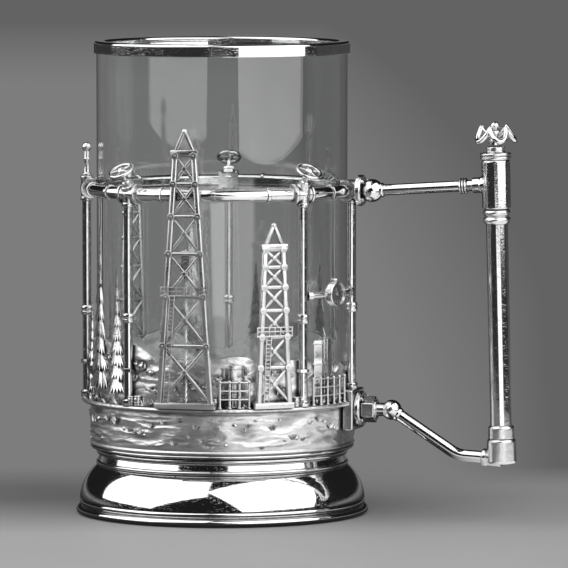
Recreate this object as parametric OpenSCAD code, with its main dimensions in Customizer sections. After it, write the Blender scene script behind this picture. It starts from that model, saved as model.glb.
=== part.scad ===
// Tea glass holder: a drinking glass in an openwork metal sleeve on a domed base, with a pipe handle.
// The origin is the centre of the foot's underside, +Z is up and the handle lies along +X.
// All lengths are in millimetres and all angles in degrees, measured about +Z from the handle.

/* [Glass] */
// Outer radius of the glass
glass_r = 33.6; // [32:0.1:36]
// Height of the glass, underside to lip
glass_h = 106.2; // [98:0.2:120]
// Wall thickness of the glass
glass_wall = 1.8; // [1.4:0.1:2.4]
// Thickness of the glass bottom
glass_bottom = 6; // [5:0.5:8]
// Rounding of the lower edge of the glass
glass_corner = 3; // [2:0.25:4]
// Height of the metal band on the lip, outside
rim_h = 2.6; // [2:0.1:4]
// Thickness of the metal band on the lip
rim_t = 0.7; // [0.5:0.05:0.9]

/* [Base] */
// How far the foot stands out beyond the sleeve band
foot_out = 4; // [3.6:0.1:5]
// Height of the foot moulding
foot_h = 4.1; // [3.6:0.1:5]
// Width of the foot ring, outside to inside
foot_w = 4.6; // [4:0.1:6]
// Height of the domed skirt
dome_h = 9.1; // [8:0.1:12]
// How far the skirt bulges out of its straight cone
dome_bulge = 1.1; // [0.8:0.05:1.6]
// Wall thickness of the skirt
base_wall = 1.2; // [1:0.1:1.5]
// Height of the waist moulding
waist_h = 5.4; // [5:0.1:7]
// Width of the waist ring, outside to bore
waist_w = 4.5; // [4:0.1:6]
// Thickness of the plate under the glass
floor_t = 1.2; // [0.9:0.1:1.6]

/* [Sleeve] */
// Gap between the glass and the sleeve
sleeve_gap = 0.4; // [0.3:0.05:0.8]
// Wall thickness of the plain band
band_wall = 1.3; // [1.1:0.05:1.8]
// Height of the plain band
band_h = 11.4; // [9:0.1:14]
// Thickness of the ground shelf
shelf_h = 1.2; // [1:0.1:1.6]
// How far the shelf stands out of the band
shelf_out = 2.5; // [2.3:0.1:3]
// Wall thickness of the hill plates
hill_wall = 1; // [0.8:0.05:1.2]
// Height of the tallest hill above the shelf
hill_h = 17; // [12:0.5:22]
// Height of the ring main above the shelf
ring_rise = 56; // [50:0.5:62]
// Outer radius of the ring main's pipe
pipe_r = 1.7; // [1.5:0.05:2]
// Outer radius of the fittings on the ring main
fitting_r = 2.3; // [2.1:0.05:2.6]
// Outer radius of the riser pipes
riser_r = 1.2; // [1:0.05:1.4]

/* [Tower, trees and tanks] */
// Height of the tall lattice tower above its plinth
tower_h = 65; // [60:0.5:70]
// Width of the tower at its plinth
tower_base_w = 14; // [12:0.5:16]
// Width of the tower under its crown
tower_top_w = 5; // [4:0.25:6]
// Half the width of the tower's legs
leg_r = 0.75; // [0.65:0.05:0.85]
// Height of the tallest fir tree
fir_h = 44; // [36:0.5:48]
// Thickness of the fir trees' relief
fir_t = 1.4; // [1.2:0.05:1.6]
// Radius of the larger storage tank
tank_r = 6.8; // [6.2:0.1:7.4]
// Height of the larger storage tank
tank_h = 17; // [14:0.5:22]
// Height of the railing
rail_h = 7; // [5:0.25:9]
// Height of the mast above the ring main
mast_h = 11; // [8:0.5:14]

/* [Handle] */
// Distance from the sleeve's pads to the handle post
reach = 39.7; // [36:0.1:44]
// Lean of the post, outwards at its foot
post_lean = 1.4; // [0.6:0.2:2.4]
// Outer radius of the post tube
post_r = 2.9; // [2.6:0.05:3.2]
// Outer radius of the thick upper barrel
barrel_r = 3.8; // [3.5:0.05:4.2]
// Length of the thick upper barrel
barrel_l = 13; // [11:0.25:16]
// Height of the barrel's middle above the ring main
arm_rise = 2.3; // [1:0.1:4]
// Outer radius of the upper arm
arm_r = 1.5; // [1.3:0.05:1.7]
// Outer radius of the lower arm
low_arm_r = 1.6; // [1.4:0.05:1.7]
// Depth of the elbow's centre below the lower flange
elbow_drop = 10.1; // [8:0.1:12]
// Outer radius of the upper flange
upper_flange_r = 4.2; // [4:0.05:4.6]
// Outer radius of the lower flange
lower_flange_r = 4.8; // [4.5:0.05:5.2]
// Thickness of both flanges
flange_t = 1.5; // [1.2:0.1:1.8]

/* [Hand wheel] */
// Radius of the wheel's rim, centre of its section
wheel_r = 5; // [4.5:0.1:5.6]
// Radius of the rim's section
wheel_rim_r = 0.85; // [0.7:0.05:1]
// Radius of the grip lobes on the rim
lobe_r = 1.35; // [1.2:0.05:1.5]
// Radius of the spindle
spindle_r = 1; // [0.9:0.05:1.2]
// Radial running clearance of the spindle in its gland
spindle_gap = 0.05; // [0.03:0.01:0.09]

/* [Hidden] */
$fn = 96;

// Overrun of every cutting tool
cut = 1;
// Clearance between pieces that are soldered side by side
seam = 0.06;

// Radii from the axis, working outwards from the glass
sleeve_in = glass_r + sleeve_gap;
band_r = sleeve_in + band_wall;
shelf_r = band_r + shelf_out;
foot_r = band_r + foot_out;
hill_r = sleeve_in + hill_wall;
relief_r = hill_r + seam;
waist_in = 0.6;
waist_r = sleeve_in - waist_in;
waist_bore = waist_r - waist_w;

// Heights, working upwards from the table
dome_z = foot_h;
waist_z = dome_z + dome_h;
band_z = waist_z + waist_h;
shelf_z = band_z + band_h;
ground_z = shelf_z + shelf_h;
ring_z = ground_z + ring_rise;
glass_z = band_z + floor_t;
rim_in_share = 0.7;

// The foot's two rolls, and the skirt's arc through three points
roll_share = 0.26;
roll_r = foot_h * roll_share;
bead_r = foot_h / 2 - roll_r;
foot_in = 1;
dome_r = foot_r - foot_in;
dome_chord = norm([dome_r - waist_r, dome_h]);
dome_arc = (pow(dome_chord / 2, 2) + pow(dome_bulge, 2)) / (2 * dome_bulge);
dome_out = [dome_h, dome_r - waist_r] / dome_chord;
dome_mid = [(dome_r + waist_r) / 2, dome_z + dome_h / 2];
dome_centre = dome_mid - dome_out * (dome_arc - dome_bulge);

// The waist's mouldings
fillet_r = 0.55;
waist_bead_r = 0.95;
lip_h = 0.9;
waist_cove = 0.5;

// The ring main: its pipe is flattened where it faces the glass
pipe_flat = 0.4;
ring_r = sleeve_in + pipe_r - pipe_flat;
full_turn = 360;
fitting_half = 4.6;
collar_turn = 1.3;
collar_out = 0.5;
fitting_turns = [0, -36, -115, -162, -255];
riser_at = relief_r + riser_r;
socket_r = riser_r + collar_out;
socket_h = 1.8;
boss_neck = 1;
boss_drop = fitting_r + boss_neck;
pad_face = ring_r + fitting_r + collar_out + seam;

// Hills: angle, and radius and centre height as shares of the tallest hill
hill_foot_share = 0.3;
hill_turns = [-12, -192, -372];
hill_shares = [
    [-14, 0.62, 0.02], [-40, 0.9, -0.18], [-66, 0.7, 0.1], [-92, 0.86, -0.1], [-118, 0.72, 0.24],
    [-142, 0.8, 0.2], [-168, 0.66, 0.02], [-196, 0.9, 0.02], [-222, 0.72, 0.18], [-248, 0.66, -0.06],
    [-274, 0.9, -0.04], [-300, 0.7, 0.2], [-326, 0.78, 0.06], [-350, 0.6, -0.02]
];

// Towers: plane of the lattice from the axis, panels, and how fast they shorten
tower_gap = 0.1;
tower_at = ring_r + pipe_r + tower_gap + leg_r;
tower_turn = -87;
small_tower_turn = -51;
small_tower_share = 0.62;
tower_panels = 6;
panel_shrink = 0.87;
girt_w = 1;
girt_d = 1.2;
brace_w = 0.8;
brace_d = 0.9;
brace_offset = 0.05;
plinth_h = 1.6;
plinth_out_share = 1.2;
crown_h = 1.5;
crown_d = 1.8;
crown_over = 1.2;
rear_turn = -208;
rear_share = 0.8;
hoist_r = 0.4;
block_shares = [0.12, 0.5];
line_share = 0.62;

// Trees: angle and height as a share of the tallest, and one tree's outline
fir_width_share = 0.11;
fir_tiers = 7;
trunk_share = 0.1;
trunk_r_share = 0.22;
tier_in_share = 0.62;
firs_left_shares = [[-124.7, 0.78], [-140, 1], [-153.4, 0.6], [-171, 0.48]];
firs_rear_shares = [[-181, 0.66], [-191.5, 0.5], [-224, 0.62], [-237.5, 0.94]];
firs_right_shares = [[-268, 0.72], [-306, 0.8], [-320.5, 1], [-333.5, 0.56]];

// Tanks: angle, and size as a share of the larger tank
tank_out = 1.3;
tank_turn = -22;
small_turn = -67.4;
small_share = 0.66;
tank_rear_turn = -286;
roof_share = 0.16;
hoop_h = 0.5;
hoop_out = 0.25;
hoop_shares = [0.02, 0.33, 0.64, 0.97];

// Railing: where its two runs start and end, and its bars
rail_r = 0.35;
rail_bar_r = 0.25;
rail_at = shelf_r - 2 * rail_r;
rail_turns = [[-73, -61], [-31.5, -11]];
rail_pitch = 4.5;
rail_level_shares = [0.5, 1];

// Pipe bridge between two risers, with a round gauge that faces outwards
bridge_r = 0.9;
bridge_rise_share = 0.52;
bridge_gap = 1.95;
gauge_turn = -18;
gauge_r = 3.4;
gauge_t = 1.9;
gauge_lip = 0.5;

// Mast on the ring main
mast_r = 0.8;
ball_share = 1.6;

// Handle, in its own plane: [distance from the axis, height]
flange_z = shelf_z - shelf_h;
pad_margin = 0.6;
pad_half = lower_flange_r + pad_margin;
upper_z = ring_z;
flange_out = pad_face + flange_t;
upper_ball_r = 3.1;
ball_seat_share = 0.75;
ball_flat_share = 0.84;
upper_c = [flange_out + upper_ball_r * ball_seat_share, upper_z];
union_r = 3.6;
union_l = 3.6;
stub_l = 2.4;
low_ball_r = 2.7;
low_seat_share = 0.68;
low_flat_share = 0.78;
stub_r = 1.8;
lower_c = [flange_out + union_l + stub_l + low_ball_r * low_seat_share, flange_z];
elbow_c = [pad_face + reach, flange_z - elbow_drop];
elbow_half = 3.3;
elbow_r = 3.9;
post_dir = [-sin(post_lean), cos(post_lean)];
barrel_s = (ring_z + arm_rise - elbow_c.y) / post_dir.y;
barrel_c = elbow_c + post_dir * barrel_s;
barrel_lo = barrel_s - barrel_l / 2;
barrel_hi = barrel_s + barrel_l / 2;
elbow_collar_r = 3.5;
elbow_collar_l = 3.6;
collar_r = 3.7;
collar_l = 3.9;
tube_lo = elbow_half + elbow_collar_l;
tube_hi = barrel_lo - collar_l;
arm_dir = (barrel_c - upper_c) / norm(barrel_c - upper_c);
arm_len = norm(barrel_c - upper_c);
boss_r = 2.1;
boss_l = 2.4;
nipple_l = 1.6;
coupling_l = 2.2;
coupling_r = 2.15;
boss_lo = arm_len - barrel_r - boss_l;
coupling_lo = boss_lo - nipple_l - coupling_l;
socket_drop = 2;
socket_c = elbow_c - [0, socket_drop];
bend_share = 0.6;
bend_rise = 0.6;
bend_c = [lower_c.x + (elbow_c.x - lower_c.x) * bend_share, socket_c.y + bend_rise];
low_dir = (bend_c - lower_c) / norm(bend_c - lower_c);
end_dir = (socket_c - bend_c) / norm(socket_c - bend_c);
bend_r_share = 1.06;
elbow_socket_r = 2.3;
elbow_socket_l = 5.2;
low_end = norm(socket_c - bend_c) - elbow_socket_l;

// Gland, spindle and wheel, measured along the post from the barrel's top
gland_plate_r = 4.15;
gland_plate_l = 1.9;
gland_neck_r = 2.5;
gland_neck_l = 1.6;
hub_gap = 0.1;
hub_r = 1.9;
hub_l = 4.2;
rim_level = 2.4;
spindle_tail = 4;
lobes = 5;
nut_r = 1.7;
nut_l = 1;
nut_dome_r = 1.3;
spoke_r = 0.6;
hub_z = barrel_hi + gland_plate_l + gland_neck_l + hub_gap;

// Bolts on both flanges
bolt_r = 0.4;
bolt_head_r = 0.72;
bolt_head_h = 0.65;
bolt_gap = 0.04;
bolt_edge = 0.05;
bolts = 4;
bolt_turn = 45;
upper_bolt_at = upper_flange_r - bolt_head_r - bolt_edge;
lower_bolt_at = lower_flange_r - bolt_head_r - bolt_edge;

// Small valve wheels on the ring main
valve_tilt = 30;
valve_stem = 6.4;
valve_neck_r = 1.5;
valve_neck_l = 4.2;
valve_hub_l = 1.4;
valve_hub_r = 1.1;
valve_wheel_r = 3.1;
valve_rim_r = 0.5;
valve_spoke_r = 0.35;
valve_stem_r = 0.75;
valve_spokes = 5;

// A bar between two points
module bar(p, q, r) {
    d = q - p;
    translate(p) rotate([0, acos(d.z / norm(d)), atan2(d.y, d.x)]) cylinder(r = r, h = norm(d));
}

// Turns what follows to an angle about the axis
module at(turn) {
    rotate([0, 0, turn]) children();
}

// Puts +Z along a direction of the handle's plane, at a point of it
module along(p, dir) {
    translate([p.x, 0, p.y]) rotate([0, atan2(dir.x, dir.y), 0]) children();
}

// The post's own frame, rising from the elbow's centre
module on_post(s = 0) {
    along(elbow_c + post_dir * s, post_dir) children();
}

// A sector of a tube
module tube_arc(from, to, r1, r2, z, h) {
    at(from) rotate_extrude(angle = to - from) translate([r1, z]) square([r2 - r1, h]);
}

// The space that the glass and the hill plates take
module inside(r, lo, hi) {
    translate([0, 0, lo - cut]) cylinder(r = r, h = hi - lo + 2 * cut);
}

module foot_ring() {
    color("gainsboro") rotate_extrude() {
        translate([foot_r - foot_w, 0]) square([foot_w - roll_r, 2 * roll_r]);
        translate([foot_r - roll_r, roll_r]) circle(r = roll_r);
        translate([foot_r - foot_w, 2 * roll_r]) square([foot_w - foot_in - bead_r, 2 * bead_r]);
        translate([dome_r - bead_r, 2 * roll_r + bead_r]) circle(r = bead_r);
    }
}

module base_dome() {
    color("gainsboro") rotate_extrude() intersection() {
        translate(dome_centre) difference() {
            circle(r = dome_arc);
            circle(r = dome_arc - base_wall);
        }
        translate([waist_bore, dome_z]) square([foot_r - waist_bore, dome_h]);
    }
}

module waist_ring() {
    color("gainsboro") translate([0, 0, waist_z]) rotate_extrude() {
        translate([waist_bore, 0]) square([waist_r - waist_cove - waist_bore, waist_h]);
        translate([waist_bore, 0]) square([waist_r - waist_bore, 2 * fillet_r]);
        translate([waist_r, fillet_r]) circle(r = fillet_r);
        translate([waist_r - waist_cove, waist_h - lip_h - waist_bead_r]) circle(r = waist_bead_r);
        translate([waist_bore, waist_h - lip_h]) square([band_r - waist_bore, lip_h]);
    }
}

module floor_plate() {
    color("silver") translate([0, 0, band_z]) cylinder(r = sleeve_in - seam, h = floor_t);
}

// Box of the lower pad, from the sleeve out to a given distance
module pad_box(out, grow = 0) {
    translate([sleeve_in, -pad_half - grow, flange_z - pad_half - grow])
        cube([out - sleeve_in, 2 * (pad_half + grow), 2 * (pad_half + grow)]);
}

module sleeve_band() {
    color("gainsboro") difference() {
        rotate_extrude() {
            translate([sleeve_in, band_z]) square([band_wall, band_h]);
            translate([band_r - fillet_r / 2, band_z + fillet_r]) circle(r = fillet_r);
            translate([sleeve_in, shelf_z]) square([shelf_r - sleeve_in - shelf_h / 2, shelf_h]);
            translate([shelf_r - shelf_h / 2, shelf_z + shelf_h / 2]) circle(r = shelf_h / 2);
        }
        difference() {
            pad_box(pad_face + cut, seam);
            inside(band_r, 0, ring_z);
        }
    }
}

// A row of rounded hills, drawn as discs that face outwards
module hill_discs(shares, r_in, r_out) {
    for (s = shares)
        at(s[0]) translate([r_in, 0, ground_z + hill_h * s[2]])
            rotate([0, 90, 0]) cylinder(r = hill_h * s[1], h = r_out - r_in);
}

module hills(from, to) {
    intersection() {
        tube_arc(from, to, sleeve_in, hill_r, ground_z, hill_h);
        union() {
            hill_discs(hill_shares, sleeve_in - band_wall, hill_r + band_wall);
            tube_arc(from - cut, to + cut, sleeve_in - cut, hill_r + cut, ground_z,
                hill_h * hill_foot_share);
        }
    }
}

module hills_front() {
    color("silver") hills(hill_turns[1], hill_turns[0]);
}

module hills_rear() {
    color("silver") hills(hill_turns[2], hill_turns[1]);
}

module lower_pad() {
    color("gainsboro") difference() {
        pad_box(pad_face);
        inside(band_r, 0, ring_z);
    }
}

// A length of ring main, or of a thicker fitting on it, between two angles
module ring_arc(from, to, r) {
    difference() {
        at(from) rotate_extrude(angle = to - from) translate([ring_r, ring_z]) circle(r = r);
        inside(sleeve_in, ring_z - r, ring_z + r);
    }
}

module ring_pipe(i) {
    n = len(fitting_turns);
    from = i < n - 1 ? fitting_turns[i + 1] : fitting_turns[0] - full_turn;
    color("gainsboro") ring_arc(from + fitting_half, fitting_turns[i] - fitting_half, pipe_r);
}

// Fitting body with a collar at each end and a socket for the riser under it
module fitting(turn) {
    at(turn) {
        ring_arc(-fitting_half + collar_turn, fitting_half - collar_turn, fitting_r);
        for (side = [-1, 1])
            ring_arc(min(side * fitting_half, side * (fitting_half - collar_turn)),
                max(side * fitting_half, side * (fitting_half - collar_turn)), fitting_r + collar_out);
        difference() {
            translate([riser_at, 0, ring_z - boss_drop]) cylinder(r = socket_r, h = boss_drop);
            inside(sleeve_in, ring_z - boss_drop, ring_z);
        }
    }
}

module valve(i) {
    color("gainsboro") {
        fitting(fitting_turns[i]);
        at(fitting_turns[i]) valve_frame() cylinder(r = valve_neck_r, h = valve_neck_l);
    }
}

// The valve's stem leans outwards from the ring main's centre line
module valve_frame() {
    translate([ring_r, 0, ring_z]) rotate([0, valve_tilt, 0]) children();
}

module valve_wheel(i) {
    color("silver") at(fitting_turns[i]) valve_frame() translate([0, 0, valve_neck_l]) {
        cylinder(r = valve_stem_r, h = valve_stem - valve_neck_l);
        translate([0, 0, valve_stem - valve_neck_l]) {
            cylinder(r = valve_hub_r, h = valve_hub_l);
            translate([0, 0, valve_hub_l / 2]) {
                rotate_extrude() translate([valve_wheel_r, 0]) circle(r = valve_rim_r);
                for (k = [0 : valve_spokes - 1])
                    at(k * full_turn / valve_spokes) rotate([0, 90, 0])
                        cylinder(r = valve_spoke_r, h = valve_wheel_r);
            }
        }
    }
}

module handle_tee() {
    color("gainsboro") {
        fitting(0);
        difference() {
            translate([ring_r, 0, ring_z]) rotate([0, 90, 0])
                cylinder(r = fitting_r + collar_out, h = pad_face - ring_r);
            inside(sleeve_in, ring_z - fitting_r, ring_z + fitting_r);
        }
    }
}

module mast_tee() {
    color("gainsboro") {
        fitting(fitting_turns[3]);
        at(fitting_turns[3]) translate([riser_at, 0, ring_z]) cylinder(r = socket_r, h = boss_drop);
    }
}

module riser(turn, foot) {
    top = ring_z - boss_drop;
    color("gainsboro") at(turn) difference() {
        translate([riser_at, 0, foot]) {
            cylinder(r = riser_r, h = top - foot);
            cylinder(r = socket_r, h = socket_h);
        }
        inside(relief_r, foot, foot + socket_h);
    }
}

module mast() {
    color("gainsboro") at(fitting_turns[3]) translate([riser_at, 0, ring_z + boss_drop]) {
        cylinder(r = mast_r, h = mast_h - boss_drop);
        translate([0, 0, mast_h - boss_drop]) sphere(r = mast_r * ball_share);
        cylinder(r = mast_r * ball_share, h = mast_r);
    }
}

// Share of the tower's height at each level of its lattice
function level_share(k, n) = (1 - pow(panel_shrink, k)) / (1 - pow(panel_shrink, n));

// One corner of the lattice, [across, up], at a share of its height
function tower_point(side, share, w, h, z) = [side * (w + (tower_top_w - w) * share) / 2, z + h * share];

// A flat bar in the tower's plane, as wide as given and as deep as given
module strut(p, q, wide, deep) {
    d = q - p;
    translate([tower_at - deep / 2, p.x, p.y]) rotate([atan2(d.y, d.x), 0, 0])
        translate([0, 0, -wide / 2]) cube([deep, norm(d), wide]);
}

module lattice(w, h, z) {
    n = tower_panels;
    for (side = [-1, 1]) {
        foot = tower_point(side, 0, w, h, z);
        strut(foot - [0, plinth_h / 2], foot, 2 * leg_r, 2 * leg_r);
        strut(foot, tower_point(side, 1, w, h, z), 2 * leg_r, 2 * leg_r);
    }
    for (k = [1 : n])
        strut(tower_point(-1, level_share(k, n), w, h, z), tower_point(1, level_share(k, n), w, h, z),
            girt_w, girt_d);
    for (k = [0 : n - 1], side = [-1, 1])
        strut(tower_point(side, level_share(k, n), w, h, z),
            tower_point(-side, level_share(k + 1, n), w, h, z), brace_w, brace_d + side * brace_offset);
}

module plinth(w) {
    difference() {
        translate([sleeve_in, -w / 2 - crown_over, ground_z])
            cube([tower_at + leg_r * plinth_out_share - sleeve_in, w + 2 * crown_over, plinth_h]);
        inside(relief_r, ground_z, ground_z + plinth_h);
    }
}

// A lattice tower on its plinth, with a crown block and a peak
module tower(turn, share) {
    w = tower_base_w * share;
    h = tower_h * share;
    z = ground_z + plinth_h;
    color("gainsboro") at(turn) {
        plinth(w);
        lattice(w, h, z);
        translate([tower_at - crown_d / 2, -tower_top_w / 2 - crown_over, z + h])
            cube([crown_d, tower_top_w + 2 * crown_over, crown_h]);
        for (side = [-1, 1])
            strut([side * tower_top_w / 2, z + h + crown_h / 2], [0, z + h + crown_h + tower_top_w],
                girt_w, girt_d - side * brace_offset);
    }
}

// A pipe between two risers, with a round gauge on it that faces outwards
module pipe_bridge() {
    z = ground_z + ring_rise * bridge_rise_share;
    span = fitting_turns[0] - fitting_turns[1] - 2 * bridge_gap;
    color("gainsboro") {
        at(fitting_turns[1] + bridge_gap) rotate_extrude(angle = span)
            translate([riser_at, z]) circle(r = bridge_r);
        at(gauge_turn) translate([riser_at, 0, z]) rotate([0, 90, 0]) {
            cylinder(r = gauge_r - gauge_lip, h = gauge_t);
            difference() {
                cylinder(r = gauge_r, h = gauge_t);
                translate([0, 0, gauge_t - gauge_lip])
                    cylinder(r = gauge_r - gauge_lip, h = gauge_lip + cut);
            }
        }
    }
}

// Line and travelling block, hung on the back of the lattice's crossings
module tower_hoist() {
    lo = ground_z + plinth_h;
    back = tower_at - girt_d / 2 - hoist_r - seam;
    color("silver") at(tower_turn) {
        translate([back, 0, lo]) cylinder(r = hoist_r, h = tower_h * line_share);
        translate([back - hoist_r, -hoist_r * 3, lo + tower_h * block_shares[1]])
            cube([2 * hoist_r, hoist_r * 6, tower_h * block_shares[0]]);
    }
}

// What lies behind a tank's flat back, where it meets the hills
module behind(half, h) {
    translate([relief_r - 2 * half, -2 * half, ground_z - cut]) cube([2 * half, 4 * half, h + 2 * cut]);
}

// A fir tree as a flat relief: its tiers flare in steps from the tip down
function fir_tier(k) = 1 - k / (fir_tiers + 1);
function fir_side(side, r, h, tier) = [
    [side * r * trunk_r_share, 0], [side * r * trunk_r_share, h - fir_tiers * tier],
    for (k = [0 : fir_tiers - 1]) each [
        [side * r * fir_tier(k), h - (fir_tiers - k) * tier],
        [k < fir_tiers - 1 ? side * r * fir_tier(k) * tier_in_share : 0, h - (fir_tiers - k - 1) * tier]
    ]
];
function backwards(list) = [for (k = [len(list) - 2 : -1 : 0]) list[k]];

module fir(turn, share) {
    h = fir_h * share;
    r = h * fir_width_share;
    tier = h * (1 - trunk_share) / fir_tiers;
    at(turn) translate([relief_r, 0, ground_z]) rotate([90, 0, 90])
        linear_extrude(fir_t) polygon(concat(fir_side(1, r, h, tier), backwards(fir_side(-1, r, h, tier))));
}

module firs(trees) {
    color("silver") for (t = trees) fir(t[0], t[1]);
}

// An upright storage tank in half relief, with hoops and a low cone roof
module tank(turn, share) {
    r = tank_r * share;
    h = tank_h * share;
    color("gainsboro") at(turn) difference() {
        translate([relief_r + tank_out - r, 0, ground_z]) {
            cylinder(r = r, h = h);
            for (s = hoop_shares)
                translate([0, 0, (h - hoop_h) * s]) cylinder(r = r + hoop_out, h = hoop_h);
            translate([0, 0, h]) cylinder(r1 = r, r2 = r * roof_share, h = h * roof_share);
        }
        behind(h, 2 * h);
    }
}

// Railing on the shelf's edge: posts, and two rails that follow the shelf
module rail_run(from, to) {
    posts = ceil((to - from) / rail_pitch);
    for (k = [0 : posts])
        at(from + (to - from) * k / posts) translate([rail_at, 0, ground_z])
            cylinder(r = rail_r, h = rail_h + rail_r);
    for (s = rail_level_shares)
        at(from) rotate_extrude(angle = to - from)
            translate([rail_at, ground_z + rail_h * s]) circle(r = rail_bar_r);
}

module railing() {
    color("silver") for (run = rail_turns) rail_run(run[0], run[1]);
}

// Holes for a ring of bolts round +Z, and the bolts
module bolt_ring(at_r, r, z, h, sides = $fn) {
    for (k = [0 : bolts - 1])
        at(bolt_turn + k * full_turn / bolts) translate([at_r, 0, z]) cylinder(r = r, h = h, $fn = sides);
}

module flange(z, r, bolt_at) {
    along([pad_face, z], [1, 0]) difference() {
        cylinder(r = r, h = flange_t);
        bolt_ring(bolt_at, bolt_r + bolt_gap, -cut, flange_t + 2 * cut);
    }
}

module flange_bolts(z, bolt_at) {
    along([pad_face, z], [1, 0]) {
        bolt_ring(bolt_at, bolt_r, 0, flange_t + bolt_head_h / 2);
        bolt_ring(bolt_at, bolt_head_r, flange_t, bolt_head_h, 6);
    }
}

module upper_flange() {
    color("gainsboro") flange(upper_z, upper_flange_r, upper_bolt_at);
}

module upper_bolts() {
    color("silver") flange_bolts(upper_z, upper_bolt_at);
}

module lower_flange() {
    color("gainsboro") flange(flange_z, lower_flange_r, lower_bolt_at);
}

module lower_bolts() {
    color("silver") flange_bolts(flange_z, lower_bolt_at);
}

// A ball cut flat towards the flange and towards its arm
module cut_ball(c, r, seat, dir, flat) {
    intersection() {
        translate([c.x, 0, c.y]) sphere(r = r);
        translate([c.x - seat, -r - cut, c.y - r - cut])
            cube([2 * (r + cut), 2 * (r + cut), 2 * (r + cut)]);
        along(c + dir * flat, -dir) cylinder(r = 2 * r, h = 3 * r);
    }
}

module upper_ball() {
    r = upper_ball_r;
    color("gainsboro") cut_ball(upper_c, r, r * ball_seat_share, arm_dir, r * ball_flat_share);
}

module upper_arm() {
    lo = upper_ball_r * ball_flat_share;
    color("gainsboro")
        along(upper_c + arm_dir * lo, arm_dir) cylinder(r = arm_r, h = coupling_lo - lo);
}

module arm_coupling() {
    color("gainsboro")
        along(upper_c + arm_dir * coupling_lo, arm_dir) cylinder(r = coupling_r, h = coupling_l);
}

module post_barrel() {
    color("gainsboro") difference() {
        union() {
            on_post(barrel_lo) cylinder(r = barrel_r, h = barrel_l);
            along(upper_c + arm_dir * boss_lo, arm_dir) cylinder(r = boss_r, h = boss_l + barrel_r);
            along(upper_c + arm_dir * (boss_lo - nipple_l), arm_dir)
                cylinder(r = arm_r, h = nipple_l + boss_l);
        }
        on_post(barrel_hi - spindle_tail) cylinder(r = spindle_r + spindle_gap, h = spindle_tail + cut);
    }
}

module gland() {
    color("gainsboro") on_post(barrel_hi) difference() {
        union() {
            cylinder(r = gland_plate_r, h = gland_plate_l);
            translate([0, 0, gland_plate_l]) cylinder(r = gland_neck_r, h = gland_neck_l);
        }
        translate([0, 0, -cut])
            cylinder(r = spindle_r + spindle_gap, h = gland_plate_l + gland_neck_l + 2 * cut);
    }
}

module spindle() {
    tail = spindle_tail - hub_gap;
    color("silver") on_post(barrel_hi - tail) cylinder(r = spindle_r, h = hub_z + hub_l - barrel_hi + tail);
}

module hand_wheel() {
    color("gainsboro") on_post(hub_z) difference() {
        union() {
            cylinder(r = hub_r, h = hub_l);
            translate([0, 0, rim_level]) rotate_extrude() translate([wheel_r, 0]) circle(r = wheel_rim_r);
            for (k = [0 : lobes - 1]) at(k * full_turn / lobes) {
                translate([wheel_r, 0, rim_level]) sphere(r = lobe_r);
                bar([hub_r / 2, 0, hub_l - wheel_rim_r], [wheel_r, 0, rim_level], spoke_r);
            }
        }
        translate([0, 0, -cut]) cylinder(r = spindle_r + seam / 2, h = hub_l + 2 * cut);
    }
}

module cap_nut() {
    color("gainsboro") on_post(hub_z + hub_l) intersection() {
        union() {
            cylinder(r = nut_r, h = nut_l);
            translate([0, 0, nut_l]) sphere(r = nut_dome_r);
        }
        cylinder(r = 2 * nut_r, h = nut_l + 2 * nut_r);
    }
}

module post_collar() {
    color("gainsboro") on_post(tube_hi) {
        cylinder(r = post_r, h = collar_l);
        rotate_extrude() {
            translate([collar_r - collar_l / 4, collar_l / 4]) circle(r = collar_l / 4);
            translate([0, 0]) square([collar_r - collar_l / 4, collar_l / 2]);
            translate([collar_r - collar_l / 4, collar_l * 3 / 4]) circle(r = collar_l / 4);
            translate([0, collar_l / 2]) square([collar_r - collar_l / 4, collar_l / 2]);
        }
    }
}

module post_tube() {
    color("gainsboro") on_post(tube_lo) cylinder(r = post_r, h = tube_hi - tube_lo);
}

module elbow_collar() {
    color("gainsboro") on_post(elbow_half) cylinder(r = elbow_collar_r, h = elbow_collar_l);
}

module lower_elbow() {
    color("gainsboro") {
        on_post(-elbow_half) cylinder(r = elbow_r, h = 2 * elbow_half);
        along(socket_c - end_dir * elbow_socket_l, end_dir)
            cylinder(r = elbow_socket_r, h = elbow_socket_l);
    }
}

module lower_arm() {
    lo = low_ball_r * low_flat_share;
    color("gainsboro") {
        along(lower_c + low_dir * lo, low_dir) cylinder(r = low_arm_r, h = norm(bend_c - lower_c) - lo);
        translate([bend_c.x, 0, bend_c.y]) sphere(r = low_arm_r * bend_r_share);
        along(bend_c, end_dir) cylinder(r = low_arm_r, h = low_end);
    }
}

module lower_ball() {
    r = low_ball_r;
    color("gainsboro") cut_ball(lower_c, r, r * low_seat_share, low_dir, r * low_flat_share);
}

module lower_union() {
    color("gainsboro") along([flange_out, flange_z], [1, 0]) {
        rotate([0, 0, 30]) cylinder(r = union_r, h = union_l, $fn = 6);
        cylinder(r = stub_r, h = union_l + stub_l);
    }
}

// A tumbler's outline: straight sides and a rounded lower edge
module tumbler(r, h) {
    square([r - glass_corner, glass_corner]);
    translate([0, glass_corner]) square([r, h - glass_corner]);
    translate([r - glass_corner, glass_corner]) intersection() {
        circle(r = glass_corner);
        translate([0, -glass_corner]) square([glass_corner, glass_corner]);
    }
}

module glass() {
    color("lightblue", 0.35) translate([0, 0, glass_z]) difference() {
        rotate_extrude() tumbler(glass_r, glass_h);
        translate([0, 0, glass_bottom]) rotate_extrude() tumbler(glass_r - glass_wall, glass_h);
    }
}

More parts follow.
